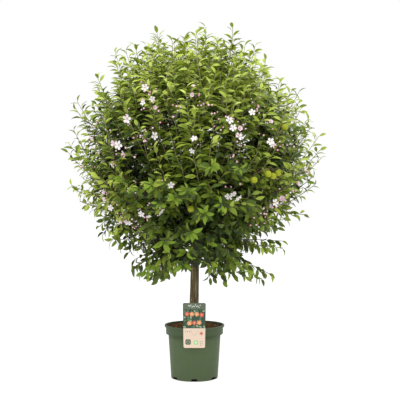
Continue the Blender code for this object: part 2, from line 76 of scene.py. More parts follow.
bl_info = {
    "name": "Potted apple tree",
    "version": (1, 0, 0),
    "blender": (4, 5, 0),
    "location": "View3D > Sidebar > Apple tree",
    "description": "Dresses a potted apple tree with bark, leaves, blossom, fruit, pot, soil and label",
    "category": "Object",
}

UP = Vector((0, 0, 1))
VIEW = Vector((0, -1, 0))  # from the tree to the camera
GOLDEN_ANGLE = math.radians(137.508)
SEED = 21

# The photograph's view: a level camera in front, its picture square
CAMERA_PLACE = (0.022, -3.5, 0.7085)
FOCAL_PIXELS = 875
PHOTO_PIXELS = 400
SENSOR = 36.0

# Trunk and boughs, close to those of the solids
POT_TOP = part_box("pot")[1][2]
SOIL_LEVEL = 0.2020
TRUNK_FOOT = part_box("trunk")[0][2]
TRUNK_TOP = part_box("trunk")[1][2]
TRUNK_RADIUS = 0.0187
TRUNK_TOP_SHARE = 0.66
FLARE = 0.45
FLARE_FALL = 0.016
TRUNK_SWAY = 0.0022
SWAY_FROM = 0.036  # height over the trunk's foot
START_SPACING = 0.016
BOUGH_RADIUS = 0.0082
BOUGH_TIP_RADIUS = 0.0046
BOUGH_RISE = 0.75
BOUGH_BEND = 0.55
LEADER_BEND = 0.12
STEM_REACH = 0.68
# Rings of masses: how many, elevation from the crown's centre, turn of the first, height where its bough
# leaves the trunk, and how far out and how high the bough ends
MASS_RINGS = {
    "top": (1, 90, 0, TRUNK_TOP, 0.0, 1.060),
    "upper": (4, 38, 20, 0.664, 0.135, 1.010),
    "middle": (5, 0, -18, 0.574, 0.205, 0.885),
    "lower": (4, -40, 50, 0.490, 0.185, 0.640),
}

# The crown's surface
CROWN_CENTRE = Vector((0, 0, 0.908))
CROWN_REACH = 0.526
SKIRT_REACH = 0.066
SKIRT_FROM = 0.80
UNEVEN = 0.022
LUMPS = 0.035
LUMPS_PER_REACH = 5.5
LOOSE = 0.045  # how far a fine shoot strays from its even place
# Where it bulges and where it falls short, seen from the front: angle up from the right, and how far
LOBES = ((45, -0.055), (82, 0.018), (108, -0.012), (150, -0.016), (222, 0.050), (300, 0.020), (318, 0.022))
LOBE_FOCUS = 14
# Where it draws back over the lowest sprays on the right: which way, how much, and how narrowly
GAP_WAY = Vector((math.cos(math.radians(301)), -0.10, math.sin(math.radians(301)))).normalized()
GAP_DEPTH = 0.085
GAP_FOCUS = 34
# Where the bare trunk shows: nothing grows straight down, in front of the trunk, or close round its top
UNDERSIDE = -0.965
TRUNK_SHOWS = 0.455
SHOOTS_CLEAR = 0.035
LEAVES_CLEAR = 0.026
CROWN_FOOT = 0.462
FOOT_CLEAR = 0.08

# Places read off the photograph, as pixels across and down: flower clusters, each with its open flowers
CLUSTERS_SEEN = (
    (145, 87, 1), (150, 97, 1), (150, 106, 2), (165, 118, 0), (131, 118, 1), (114, 138, 1), (123, 143, 3),
    (131, 155, 2), (120, 158, 1), (147, 136, 1), (194, 95, 2), (178, 111, 0), (197, 145, 2), (253, 115, 1),
    (238, 131, 3), (227, 123, 1), (272, 145, 2), (236, 142, 1), (229, 154, 0), (284, 142, 0), (270, 127, 1),
    (232, 190, 3), (284, 197, 1), (291, 186, 1), (127, 215, 3), (146, 211, 2), (154, 208, 1), (115, 206, 1),
    (263, 213, 1), (258, 218, 0), (269, 205, 1), (165, 184, 1), (290, 114, 0), (205, 110, 0), (139, 222, 0),
    (300, 170, 1), (84, 116, 0), (89, 168, 1), (136, 188, 0), (283, 204, 1), (139, 133, 0), (97, 130, 1),
    (254, 101, 0), (219, 121, 0), (262, 140, 0), (96, 206, 0), (99, 150, 0),
)
# Young apples, in the groups that share a twig
APPLES_SEEN = (((254, 180), (268, 174), (273, 176), (278, 173)), ((191, 209),), ((285, 127),))
# Long sprays that stand out of the crown: the tip, a point before it, and y in metres
SPRAYS_SEEN = (
    ((282, 241), (236, 240), 0.02), ((283, 248), (234, 246), -0.06), ((272, 246), (228, 250), -0.10),
    ((272, 275), (226, 258), -0.08), ((262, 279), (218, 257), -0.14), ((246, 277), (212, 258), 0.02),
    ((234, 275), (206, 256), -0.05), ((224, 280), (206, 255), -0.09), ((213, 277), (201, 254), -0.03),
    ((133, 268), (162, 256), -0.06), ((147, 276), (172, 254), -0.03), ((159, 278), (178, 254), -0.05),
    ((140, 274), (168, 257), -0.12), ((152, 277), (174, 257), 0.00), ((166, 276), (180, 256), -0.09),
    ((71, 185), (92, 198), -0.02), ((77, 191), (98, 202), -0.08),
)
# Short leafy shoots that fill the crown's outline on its lower sides: the tip, and y in metres
FRINGE_SEEN = (
    ((99, 227), -0.03), ((102, 236), -0.05), ((110, 243), 0.02), ((117, 236), -0.10), ((122, 249), -0.06),
    ((129, 253), 0.00), ((293, 216), -0.05), ((286, 221), 0.02), ((280, 225), -0.06), ((272, 228), -0.12),
    ((309, 160), 0.03), ((311, 170), -0.06), ((310, 180), 0.04), ((306, 189), -0.05), ((302, 198), 0.02),
)
# Tips of the plumes that make the crown's upper outline
PLUMES_SEEN = (
    (69, 144), (77, 101), (97, 76), (115, 52), (135, 45), (157, 33), (183, 39),
    (206, 27), (218, 38), (233, 28), (255, 46), (264, 68), (299, 92), (309, 120),
    (320, 150), (314, 176), (146, 45), (126, 51), (245, 45), (282, 83),
)
# Rosettes of new leaves low down
ROSETTES_SEEN = (
    (191, 232), (130, 186), (158, 203), (164, 241), (212, 166), (240, 168), (205, 214),
    (151, 185), (187, 190), (183, 264), (175, 199), (222, 205),
)
# The leaves that hang over the trunk's top, grown in the inner layer whose dark shades are painted shade
VEIL_SEEN = ((187, 252), (193, 247), (194, 256), (200, 251), (204, 257))


def length_property(name, description, length):
    return FloatProperty(name=name, description=description, default=length, unit="LENGTH")


def count_property(name, description, count):
    return IntProperty(name=name, description=description, default=count)


def colour_property(name, description, *colour):
    return FloatVectorProperty(name=name, description=description, default=colour, size=3, subtype="COLOR")


class Sizes(bpy.types.PropertyGroup):
    """Sizes and counts of what grows on the limbs."""

    leaf_length: length_property("Leaf length", "Stalk and blade of a full leaf", 0.044)
    leaf_spacing: length_property("Leaf spacing", "Distance between two leaves on a shoot", 0.0078)
    flower_width: length_property("Flower width", "Across an open flower", 0.029)
    apple_width: length_property("Apple width", "Across a young apple", 0.025)
    limb_shoots: count_property("Limb shoots", "Shoots of the first order", 87)
    inner_shoots: count_property("Inner shoots", "Older leafy shoots inside the crown", 500)
    outer_shoots: count_property("Outer shoots", "Leafy shoots that make the crown's body", 500)
    leaders: count_property("Leaders", "Long young shoots that stand out of the crown", 230)


class Colours(bpy.types.PropertyGroup):
    """Colours, as linear light."""

    # The leaf colours, young to shadow, are the leaves' own tones and also painted light and shade: they are
    # dealt brighter at the top and outside, darker inside and low down
    young_leaf: colour_property("Young leaf", "Leaves at the shoots' tips", 0.40, 0.49, 0.075)
    fresh_leaf: colour_property("Fresh leaf", "Leaves in the sun at the top", 0.305, 0.395, 0.045)
    full_leaf: colour_property("Full leaf", "Leaves on the sides", 0.152, 0.217, 0.018)
    deep_leaf: colour_property("Deep leaf", "Older leaves lower down", 0.076, 0.121, 0.015)
    dark_leaf: colour_property("Dark leaf", "Old leaves, inside and below", 0.037, 0.062, 0.010)
    shadow_leaf: colour_property("Shadow leaf", "Oldest leaves, deep inside", 0.019, 0.029, 0.007)
    lime_leaf: colour_property("Lime leaf", "Rosettes of new leaves low down", 0.185, 0.290, 0.022)
    petal: colour_property("Petal", "Open petals", 0.88, 0.84, 0.83)
    blush: colour_property("Blush petal", "Petals of half-open flowers", 0.86, 0.68, 0.72)
    bud: colour_property("Bud", "Closed buds", 0.74, 0.30, 0.38)
    apple: colour_property("Apple", "Skin of a young apple", 0.351, 0.388, 0.020)
    pot: colour_property("Pot", "Plastic of the pot", 0.0885, 0.1245, 0.0600)


class Wire:
    """A shader socket that takes part in Python expressions."""

    def __init__(self, shader, socket):
        self.shader = shader
        self.socket = socket

    def maths(self, operation, *values):
        return self.shader.node("ShaderNodeMath", {"operation": operation}, dict(enumerate(values)))

    def __add__(self, other):
        return self.maths("ADD", self, other)

    def __mul__(self, other):
        return self.maths("MULTIPLY", self, other)

    def __gt__(self, other):
        return self.maths("GREATER_THAN", self, other)

    __radd__ = __add__
    __rmul__ = __mul__


class Shader:
    """A material with one Principled BSDF, and a way to add nodes to it."""

    def __init__(self, name, colour, roughness, **settings):
        self.material = bpy.data.materials.new(name)
        self.material.use_nodes = True
        self.material.diffuse_color = (*colour, 1)
        self.tree = self.material.node_tree
        self.principled = self.tree.nodes["Principled BSDF"]
        self.set(Base_Color=colour, Roughness=roughness, **settings)

    def set(self, **sockets):
        for name, value in sockets.items():
            self.plug(self.principled.inputs[name.replace("_", " ")], value)

    def plug(self, socket, value):
        if isinstance(value, Wire):
            self.tree.links.new(value.socket, socket)
        elif socket.type == "RGBA":
            socket.default_value = (*value, 1)
        else:
            socket.default_value = value

    def node(self, kind, settings=None, sockets=None, output=0):
        """Adds a node: its settings first, then the values or links of its sockets, by name or number."""
        made = self.tree.nodes.new(kind)
        for name, value in (settings or {}).items():
            if name == "stops":
                self.fill_ramp(made.color_ramp, value)
            else:
                setattr(made, name, value)
        for key, value in (sockets or {}).items():
            self.plug(made.inputs[key], value)
        return Wire(self, made.outputs[output])

    def fill_ramp(self, ramp, stops):
        while len(ramp.elements) < len(stops):
            ramp.elements.new(0.5)
        for element, (place, colour) in zip(ramp.elements, stops):
            element.position = place
            element.color = (*colour, 1)

    def here(self):
        """The piece's own coordinates."""
        return self.node("ShaderNodeTexCoord", output="Object")

    def coordinate(self, axis):
        return self.node("ShaderNodeSeparateXYZ", sockets={"Vector": self.here()}, output=axis)

    def distance_from_axis(self):
        level = self.node("ShaderNodeVectorMath", {"operation": "MULTIPLY"}, {0: self.here(), 1: (1, 1, 0)})
        return self.node("ShaderNodeVectorMath", {"operation": "LENGTH"}, {0: level}, output=1)

    def noise(self, size, detail=3.0, stretch=(1, 1, 1), roughness=0.55):
        """Cloudy noise whose patches are about size across."""
        place = self.node("ShaderNodeMapping", sockets={"Vector": self.here(), "Scale": stretch})
        sockets = {"Vector": place, "Scale": 1 / size, "Detail": detail, "Roughness": roughness}
        return self.node("ShaderNodeTexNoise", sockets=sockets)

    def ramp(self, factor, *stops):
        return self.node("ShaderNodeValToRGB", {"stops": stops}, {"Fac": factor})

    def mix(self, factor, first, second, blend="MIX"):
        sockets = {"Factor": factor, 6: first, 7: second}
        return self.node("ShaderNodeMix", {"data_type": "RGBA", "blend_type": blend}, sockets, output=2)

    def tinted(self, colour, shade):
        """A colour multiplied by a second one."""
        return self.mix(1.0, colour, shade, "MULTIPLY")

    def bump(self, height, depth):
        return self.node("ShaderNodeBump", sockets={"Height": height, "Distance": depth, "Strength": 1.0})


# Modelling by hand: one object at a time, with corners picked by their place


def deselect():
    if bpy.context.object and bpy.context.object.mode != "OBJECT":
        bpy.ops.object.mode_set(mode="OBJECT")
    bpy.ops.object.select_all(action="DESELECT")


def choose(made):
    """Selects one object alone, in object mode."""
    deselect()
    made.select_set(True)
    bpy.context.view_layer.objects.active = made


def started(name, primitive, **settings):
    """Adds a primitive, names it, and opens it in edit mode with nothing selected."""
    deselect()
    primitive(**settings)
    made = bpy.context.object
    made.name = made.data.name = name
    bpy.ops.object.mode_set(mode="EDIT")
    bpy.ops.mesh.select_all(action="DESELECT")
    return made


def started_disc(name, corners, radius, height=0.0):
    disc = {"vertices": corners, "radius": radius, "fill_type": "NGON", "location": (0, 0, height)}
    return started(name, bpy.ops.mesh.primitive_circle_add, **disc)


def pick(made, test):
    """Selects the corners of the mesh in edit mode that pass a test on their place."""
    bpy.ops.mesh.select_mode(type="VERT")
    bm = bmesh.from_edit_mesh(made.data)
    for corner in bm.verts:
        corner.select_set(test(corner.co))
    bm.select_flush_mode()
    bmesh.update_edit_mesh(made.data)


def move_corners(made, new_place):
    """Moves every corner of the mesh in edit mode, by a function of its number and its place."""
    bm = bmesh.from_edit_mesh(made.data)
    for number, corner in enumerate(bm.verts):
        corner.co = new_place(number, corner.co)
    bmesh.update_edit_mesh(made.data)


def settle(made):
    """Leaves edit mode, and puts the object's place into its mesh."""
    choose(made)
    bpy.ops.object.transform_apply(location=True, rotation=True, scale=True)


def close_up(made):
    """Turns the faces of a finished mesh outwards."""
    bpy.ops.mesh.select_all(action="SELECT")
    bpy.ops.mesh.normals_make_consistent(inside=False)
    settle(made)


def apply_modifier(made, kind, **settings):
    choose(made)
    modifier = made.modifiers.new(kind.lower(), kind)
    for name, value in settings.items():
        setattr(modifier, name, value)
    bpy.ops.object.modifier_apply(modifier=modifier.name)


def smooth_shade(made, angle):
    choose(made)
    bpy.ops.object.shade_smooth_by_angle(angle=math.radians(angle))


def finish_piece(made, shader, slot, *nodes):
    """Gives a piece its material and its place in the frame."""
    made.data.materials.clear()
    made.data.materials.append(shader.material)
    if nodes:
        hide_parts(*nodes)
    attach(made, "root")
    return made


def turned(name, profile, sides):
    """A lathe shape: a disc at the first (radius, height), then extruded ring by ring."""
    radius, height = profile[0]
    made = started_disc(name, sides, radius, height)
    bpy.ops.mesh.select_all(action="SELECT")
    for next_radius, next_height in profile[1:]:
        move = {"value": (0, 0, next_height - height)}
        bpy.ops.mesh.extrude_region_move(TRANSFORM_OT_translate=move)
        share = next_radius / radius
        bpy.ops.transform.resize(value=(share, share, 1), center_override=(0, 0, next_height))
        radius, height = next_radius, next_height
    close_up(made)
    return made


# What repeats: small templates that are dealt out, and tubes along lines


class Template:
    """The corners and faces of a small mesh that is dealt out many times."""

    def __init__(self, made):
        settle(made)
        self.points = np.array([corner.co for corner in made.data.vertices])
        self.faces = [tuple(face.vertices) for face in made.data.polygons]
        bpy.data.objects.remove(made)

    def spun(self, copies):
        """This template copied round Z."""
        points = []
        faces = []
        for k, angle in enumerate(fan(copies)):
            turn = np.array(Matrix.Rotation(angle, 3, "Z"))
            faces += [tuple(j + len(self.points) * k for j in face) for face in self.faces]
            points.append(self.points @ turn.T)
        self.points = np.vstack(points)
        self.faces = faces
        return self


def fan(count):
    """Angles all the way round."""
    return [math.tau * k / count for k in range(count)]


def meshed(name, points, faces, smooth=True):
    """A new object from points and faces."""
    mesh = bpy.data.meshes.new(name)
    mesh.from_pydata(points, [], faces, shade_flat=not smooth)
    mesh.validate()
    made = bpy.data.objects.new(name, mesh)
    bpy.context.collection.objects.link(made)
    return made


def dealt(name, hands, shader, slot, smooth=True):
    """One piece from templates dealt out by 4x4 placements: hands is a list of (template, placements)."""
    points = []
    faces = []
    count = 0
    for template, placements in hands:
        if not placements:
            continue
        turns = np.array([np.array(placement) for placement in placements])
        moved = np.einsum("nij,kj->nki", turns[:, :3, :3], template.points) + turns[:, None, :3, 3]
        points.append(moved.reshape(-1, 3))
        size = len(template.points)
        end = count + size * len(placements)
        for start in range(count, end, size):
            faces += [tuple(start + j for j in face) for face in template.faces]
        count = end
    return finish_piece(meshed(name, np.vstack(points).tolist(), faces, smooth), shader, slot)


def tubes(name, lines):
    """One mesh of round tubes with closed ends. Each line is (points, radii, sides)."""
    corners = []
    faces = []
    for points, radii, sides in lines:
        faces += tube_faces(len(corners), len(points), sides)
        corners += tube_corners(points, radii, sides)
    return meshed(name, corners, faces)


def tube_corners(points, radii, sides):
    """Rings of corners round a line, each turned as little as possible from the last."""
    corners = []
    side = any_side(points[1] - points[0])
    last = len(points) - 1
    for k, (point, radius) in enumerate(zip(points, radii)):
        way = (points[min(k + 1, last)] - points[max(k - 1, 0)]).normalized()
        side = (side - way * side.dot(way)).normalized()
        other = way.cross(side)
        for angle in fan(sides):
            corners.append(tuple(point + (side * math.cos(angle) + other * math.sin(angle)) * radius))
    return corners


def tube_faces(first, rings, sides):
    """The walls and the two ends of a tube whose first corner has this number."""
    faces = []
    last = first + (rings - 1) * sides
    for start in range(first, last, sides):
        for j in range(sides):
            a = start + j
            b = start + (j + 1) % sides
            faces.append((a, b, b + sides, a + sides))
    faces.append(tuple(range(first + sides - 1, first - 1, -1)))
    faces.append(tuple(range(last, last + sides)))
    return faces


# The tree's own rule, close to that of its solids


def any_side(direction):
    helper = UP if abs(direction.normalized().z) < 0.9 else Vector((1, 0, 0))
    return direction.cross(helper).normalized()


def bezier(start, bend, end, share):
    return start * (1 - share) ** 2 + bend * (2 * share * (1 - share)) + end * share**2


def curve(start, bend, end, steps):
    return [bezier(start, bend, end, k / steps) for k in range(steps + 1)]


def tapered(thick, thin, steps, power=1):
    """Radii from thick to thin."""
    return [thick + (thin - thick) * (k / steps) ** power for k in range(steps + 1)]


def heading(azimuth, elevation):
    a, e = math.radians(azimuth), math.radians(elevation)
    return Vector((math.cos(a) * math.cos(e), math.sin(a) * math.cos(e), math.sin(e)))


def ease(value):
    """A smooth step from 0 to 1."""
    held = min(1.0, max(0.0, value))
    return held * held * (3 - 2 * held)


def scatter(rng, most):
    return Vector([rng.uniform(-most, most) for _ in range(3)])


def nearest(points, place):
    return min(points, key=lambda point: (point - place).length_squared)


def outward(place):
    """The direction from the crown's centre to a place."""
    return (place - CROWN_CENTRE).normalized()


def reach(direction):
    """How far the crown goes from its centre along a direction."""
    skirt = ease((-direction.z - SKIRT_FROM) / 0.10)
    lobes = sum(rise * math.exp(LOBE_FOCUS * (direction.dot(heading(0, angle)) - 1)) for angle, rise in LOBES)
    return CROWN_REACH + SKIRT_REACH * skirt + lobes + UNEVEN * noise.noise(direction * 2.3 + UP * 5)


def growing_way(direction):
    """Which way a shoot points at its tip: outwards and up, and nearly level in the skirt."""
    lift = 0.42 + 0.42 * ease((-direction.z - 0.35) / 0.5)
    return (direction + UP * lift).normalized()


def rising_way(direction):
    """Which way a leafy shoot points: steeper than the limb that bears it, but level in the skirt."""
    lift = 1.45 - 0.90 * ease((-direction.z + 0.05) / 0.6)
    return (direction + UP * lift).normalized()


def sphere_directions(count):
    for k in range(count):
        z = 1 - (2 * k + 1) / count
        level = math.sqrt(1 - z * z)
        yield Vector((level * math.cos(k * GOLDEN_ANGLE), level * math.sin(k * GOLDEN_ANGLE), z))


def trunk_point(height):
    rise = max(0.0, height - TRUNK_FOOT - SWAY_FROM)
    across = TRUNK_SWAY * math.sin(rise * 9 - 1)
    back = TRUNK_SWAY * math.sin(rise * 6 + 1) * min(1, rise * 8)
    return Vector((across, back, height))


def trunk_radius(height):
    above = max(0.0, height - TRUNK_FOOT)
    taper = 1 - (1 - TRUNK_TOP_SHARE) * (above / (TRUNK_TOP - TRUNK_FOOT)) ** 1.4
    return TRUNK_RADIUS * (taper + FLARE * math.exp(-above / FLARE_FALL))


# A mass's direction is from the crown's centre, and its points and radii are those of the bough that bears it
Mass = namedtuple("Mass", "name direction points radii")


@functools.cache
def mass_plan():
    """The crown's masses of foliage, from the top ring down."""
    plan = []
    for ring, (count, elevation, turn, lowest, tip_out, tip_height) in MASS_RINGS.items():
        for k in range(count):
            azimuth = turn + 360 * k / count
            level = heading(azimuth, 0)
            start = trunk_point(lowest + START_SPACING * ((k * 2) % count))
            bend = start + (level + UP * BOUGH_RISE) * tip_out * BOUGH_BEND
            thick = BOUGH_RADIUS
            if ring == "top":
                bend = start + UP * LEADER_BEND
                thick = trunk_radius(TRUNK_TOP)
            points = curve(start, bend, level * tip_out + UP * tip_height, 40)
            radii = tapered(thick, BOUGH_TIP_RADIUS, 40, 0.8)
            name = ring if count == 1 else f"{ring}_{k + 1}"
            plan.append(Mass(name, heading(azimuth, elevation), points, radii))
    return plan


# Shoots


# Each layer's shade at the crown's middle, how much it varies, and how much it falls below the middle; the
# inner layers' darker middles and the fall are painted shade, inside the crown and low down
LAYER_SHADES = {
    "inner": (0.9, 0.6, 0.2),
    "outer": (2.2, 1.0, 1.2),
    "leader": (4.15, 1.0, 4.2),
    "plume": (3.3, 0.4, 0.0),
    "spray": (4.3, 0.8, 0.9),
    "rosette": (3.6, 0.3, 0.0),
}


class Shoot:
    """A twig: its line, how thick it is, and which layer of the crown it belongs to."""

    def __init__(self, points, radii, direction, layer):
        self.points = points
        self.radii = radii
        self.direction = direction
        self.layer = layer
        self.leafy = layer in LAYER_SHADES

    def at(self, share):
        """A point part of the way along, and which way the twig runs there."""
        place = share * (len(self.points) - 1)
        step = min(int(place), len(self.points) - 2)
        here, there = self.points[step], self.points[step + 1]
        return here.lerp(there, place - step), (there - here).normalized()

    def length(self):
        return sum((b - a).length for a, b in zip(self.points, self.points[1:]))


# A shoot to grow: its tip, which way it points there, its direction from the crown's centre, and its length
Wish = namedtuple("Wish", "tip way direction length")


def grow_stem(mass):
    """The woody shoot that carries a bough on into its mass."""
    foot = mass.points[-1]
    way = (foot - mass.points[-2]).normalized()
    tip = CROWN_CENTRE + mass.direction * (STEM_REACH * reach(mass.direction))
    bend = foot + way * ((tip - foot).length * 0.45)
    radii = tapered(BOUGH_TIP_RADIUS, BOUGH_TIP_RADIUS * 0.45, 10)
    return Shoot(curve(foot, bend, tip, 10), radii, mass.direction, "stem")


def grow_shoot(wood, wish, radii, layer):
    """A shoot from the wood that is nearest to where it should start."""
    base = wish.tip - wish.way * wish.length
    start = nearest(wood, base)
    bend = base.lerp(start, 0.30) + wish.way * 0.03
    return Shoot(curve(start, bend, wish.tip, 6), tapered(*radii, 6), wish.direction, layer)


def layer_wishes(number, layer, count, length, depths):
    """What a layer asks for: shoots spread evenly over the crown, their tips a little under its surface."""
    rng = random.Random(SEED + number)
    least, most = depths
    limb = layer == "limb"
    loose = 0.0 if limb else LOOSE
    for direction in sphere_directions(count):
        direction = (direction + scatter(rng, loose)).normalized()
        lump = LUMPS * noise.noise(direction * LUMPS_PER_REACH)
        depth = least + (most - least) * rng.random() ** 0.7 - lump
        depth += GAP_DEPTH * math.exp(GAP_FOCUS * (direction.dot(GAP_WAY) - 1))
        lean = scatter(rng, 1) * loose * 5
        long = length * rng.uniform(0.85, 1.15)
        tip = CROWN_CENTRE + direction * (reach(direction) - depth)
        before_trunk = not limb and abs(tip.x) < SHOOTS_CLEAR and tip.z < TRUNK_SHOWS
        if direction.z < UNDERSIDE or before_trunk:
            continue
        way = growing_way(direction) if limb else (rising_way(direction) + lean).normalized()
        yield Wish(tip, way, direction, long)


def ruled_shoots():
    """The shoots that fill the masses, layer by layer, each grown from its own mass's wood, and that wood."""
    sizes = bpy.context.scene.apple_tree_sizes
    plan = mass_plan()
    layers = (
        ("limb", sizes.limb_shoots, 0.210, (0.100, 0.150), (0.0026, 0.0014)),
        ("inner", sizes.inner_shoots, 0.130, (0.110, 0.220), (0.0016, 0.0009)),
        ("outer", sizes.outer_shoots, 0.170, (0.068, 0.135), (0.0018, 0.0009)),
        ("leader", sizes.leaders, 0.215, (0.016, 0.108), (0.0020, 0.0011)),
    )
    grown = [grow_stem(mass) for mass in plan]
    wood = [stem.points[2:] for stem in grown]
    for number, (layer, count, length, depths, radii) in enumerate(layers):
        wishes = [[] for _ in plan]
        for wish in layer_wishes(number, layer, count, length, depths):
            k = max(range(len(plan)), key=lambda k: plan[k].direction.dot(wish.direction))
            wishes[k].append(wish)
        for mass, own_wood, own_wishes in zip(plan, wood, wishes):
            foot = mass.points[-1]
            own_wishes.sort(key=lambda wish: (wish.tip - wish.way * wish.length - foot).length)
            for wish in own_wishes:
                shoot = grow_shoot(own_wood, wish, radii, layer)
                grown.append(shoot)
                own_wood += shoot.points[1:6] if layer == "limb" else shoot.points[1:3]
    return grown, [point for own_wood in wood for point in own_wood]


def seen_beside(across, down, y):
    """The point of the upright plane at y that a pixel of the photograph shows."""
    half = PHOTO_PIXELS / 2
    away = (y - CAMERA_PLACE[1]) / FOCAL_PIXELS
    return Vector((CAMERA_PLACE[0] + (across - half) * away, y, CAMERA_PLACE[2] + (half - down) * away))


# Along a ray from the camera, from just before the crown to its middle
SEARCH_FROM = 2.9
SEARCH_STEP = 0.0025
SEARCH_STEPS = 240


def seen_at(across, down, depth):
    """The point at a depth under the crown's surface that a pixel of the photograph shows, or the nearest."""
    eye = Vector(CAMERA_PLACE)
    half = PHOTO_PIXELS / 2
    ray = Vector(((across - half) / FOCAL_PIXELS, 1, (half - down) / FOCAL_PIXELS))
    passed = []
    for k in range(SEARCH_STEPS):
        place = eye + ray * (SEARCH_FROM + SEARCH_STEP * k)
        out = place - CROWN_CENTRE
        passed.append((out.length - (reach(out.normalized()) - depth), place))
        if passed[-1][0] < 0:
            return place
    return min(passed, key=lambda one: one[0])[1]


def seen_sprays(wood):
    """The long sprays, which run out past the points that the photograph shows."""
    for tip_seen, knee_seen, y in SPRAYS_SEEN:
        tip, knee = seen_beside(*tip_seen, y), seen_beside(*knee_seen, y)
        points = curve(nearest(wood, knee), knee + UP * 0.012, tip, 8)
        yield Shoot(points, tapered(0.0020, 0.0011, 8), outward(tip), "spray")


PLUME_STAGGER = 0.04  # plumes stand by turns behind the trunk's middle and before it
ROSETTE_DEPTH = 0.022
VEIL_DEPTH = 0.02


def seen_shoots(wood):
    """The plumes, rosettes, fringe and veil, whose tips the photograph shows."""
    for k, pixel in enumerate(PLUMES_SEEN):
        tip = seen_beside(*pixel, PLUME_STAGGER * (-1) ** k)
        out = outward(tip)
        for place in (tip, tip - UP * 0.035 + VIEW * 0.03):
            yield grow_shoot(wood, Wish(place, rising_way(out), out, 0.20), (0.0020, 0.0011), "plume")
    for pixel in ROSETTES_SEEN:
        tip = seen_at(*pixel, ROSETTE_DEPTH)
        out = outward(tip)
        yield grow_shoot(wood, Wish(tip, growing_way(out), out, 0.12), (0.0020, 0.0011), "rosette")
    for pixel, y in FRINGE_SEEN:
        tip = seen_beside(*pixel, y)
        out = outward(tip)
        yield grow_shoot(wood, Wish(tip, (out - UP * 0.1).normalized(), out, 0.12), (0.0018, 0.0010), "outer")
    for pixel in VEIL_SEEN:
        tip = seen_at(*pixel, VEIL_DEPTH)
        out = outward(tip)
        yield grow_shoot(wood, Wish(tip, growing_way(out), out, 0.10), (0.0018, 0.0011), "inner")


@functools.cache
def grown_crown():
    """Every shoot of the crown: limb shoots in the solids' directions, and finer ones between them."""
    grown, wood = ruled_shoots()
    return [*grown, *seen_sprays(wood), *seen_shoots(wood)]


def wood_points(*layers):
    return [point for shoot in grown_crown() if shoot.layer in layers for point in shoot.points[1:]]


# Leaves and petals


def placed(place, side, along, face):
    """A placement from a place and the ways of a template's X, Y and Z, each at its length."""
    return Matrix.Translation(place) @ Matrix((side, along, face)).transposed().to_4x4()


def on_row(y):
    """A test for the corners of one row across a blade."""
    return lambda place: abs(place.y - y) < 0.01


def beside_rib(y, sign):
    """A test for the corners of a row on one side of the rib."""
    return lambda place: abs(place.y - y) < 0.01 and place.x * sign > 0.004


def blade_template(name, rows):
    """A leaf or petal along +Y. Each row is (y, half width, height, left side's rise, right side's rise)."""
    grid = {"x_subdivisions": 2, "y_subdivisions": len(rows) - 1, "size": 1}
    made = started(name, bpy.ops.mesh.primitive_grid_add, **grid)
    aside = 2  # a row that is done lies clear of those that aren't
    for k, (y, half, height, *rises) in enumerate(rows):
        start = -0.5 + k / (len(rows) - 1)
        pick(made, on_row(start))
        bpy.ops.transform.resize(value=(2 * half, 1, 1))
        bpy.ops.transform.translate(value=(0, y - start + aside, height))
        for sign, rise in zip((-1, 1), rises):
            pick(made, beside_rib(y + aside, sign))
            bpy.ops.transform.translate(value=(0, 0, rise))
    bpy.ops.mesh.select_all(action="SELECT")
    bpy.ops.transform.translate(value=(0, -aside, 0))
    return Template(made)


# Along a leaf, and its half width there as a share of its widest. The stalk has its own half width
STALK_ROWS = ((0, 0.012), (0.15, 0.016))
LEAF_ROWS = ((0.23, 0.52), (0.37, 0.91), (0.54, 1), (0.71, 0.87), (0.88, 0.48), (1, 0.03))


def leaf_template(name, half_width, rise, drop, fold, wave):
    """A leaf with its stalk, one unit long: it arches over, and its sides fold up and wave."""
    widths = [*STALK_ROWS, *((along, share * half_width) for along, share in LEAF_ROWS)]
    rows = []
    for along, half in widths:
        height = rise * along - drop * along * along
        ripple = wave * half * math.sin(along * 9)
        rows.append((along, half, height, fold * half - ripple, fold * half + ripple))
    return blade_template(name, rows)


def leaf_placement(root, along, face, length, width):
    """Where a leaf goes: its stalk's foot, which way it points, and which way its upper side looks."""
    side = along.cross(face).normalized()
    return placed(root, side * length * width, along * length, side.cross(along) * length)


def leaf_way(shoot_way, side, spread, sag):
    along = shoot_way * math.cos(spread) + side * math.sin(spread)
    return (along - UP * sag).normalized()


RANKED = 0.45  # share of an upright shoot's leaves that lie to its left and right
LEAF_ROLL = 0.42


def leaf_side(shoot_way, turn, number, rng):
    """Where round its shoot a leaf is: left or right for some on an upright shoot, in a spiral for others."""
    across = Vector((1, 0, 0)) - shoot_way * shoot_way.x
    if across.length < 0.5 or rng.random() > RANKED:
        return Matrix.Rotation(turn, 3, shoot_way) @ any_side(shoot_way)
    sign = 1 if number % 2 else -1
    return Matrix.Rotation(rng.uniform(-0.5, 0.5), 3, shoot_way) @ (across.normalized() * sign)


def leaf_face(root, along, shoot_way, open_side, rng):
    """The way the upper side looks: to the shoot's tip, to the light above, and out of the crown."""
    low = ease((CROWN_CENTRE.z - root.z) / 0.30)
    wanted = shoot_way * (0.8 - 0.3 * low) + UP * 0.45 + outward(root) * (0.20 + 0.25 * low) + open_side
    face = wanted - along * wanted.dot(along)
    face = face.normalized() if face.length > 0.05 else any_side(along)
    return Matrix.Rotation(rng.gauss(0, LEAF_ROLL * (1 + 0.5 * low)), 3, along) @ face


SHADES = ("shadow", "dark", "deep", "full", "fresh", "young")


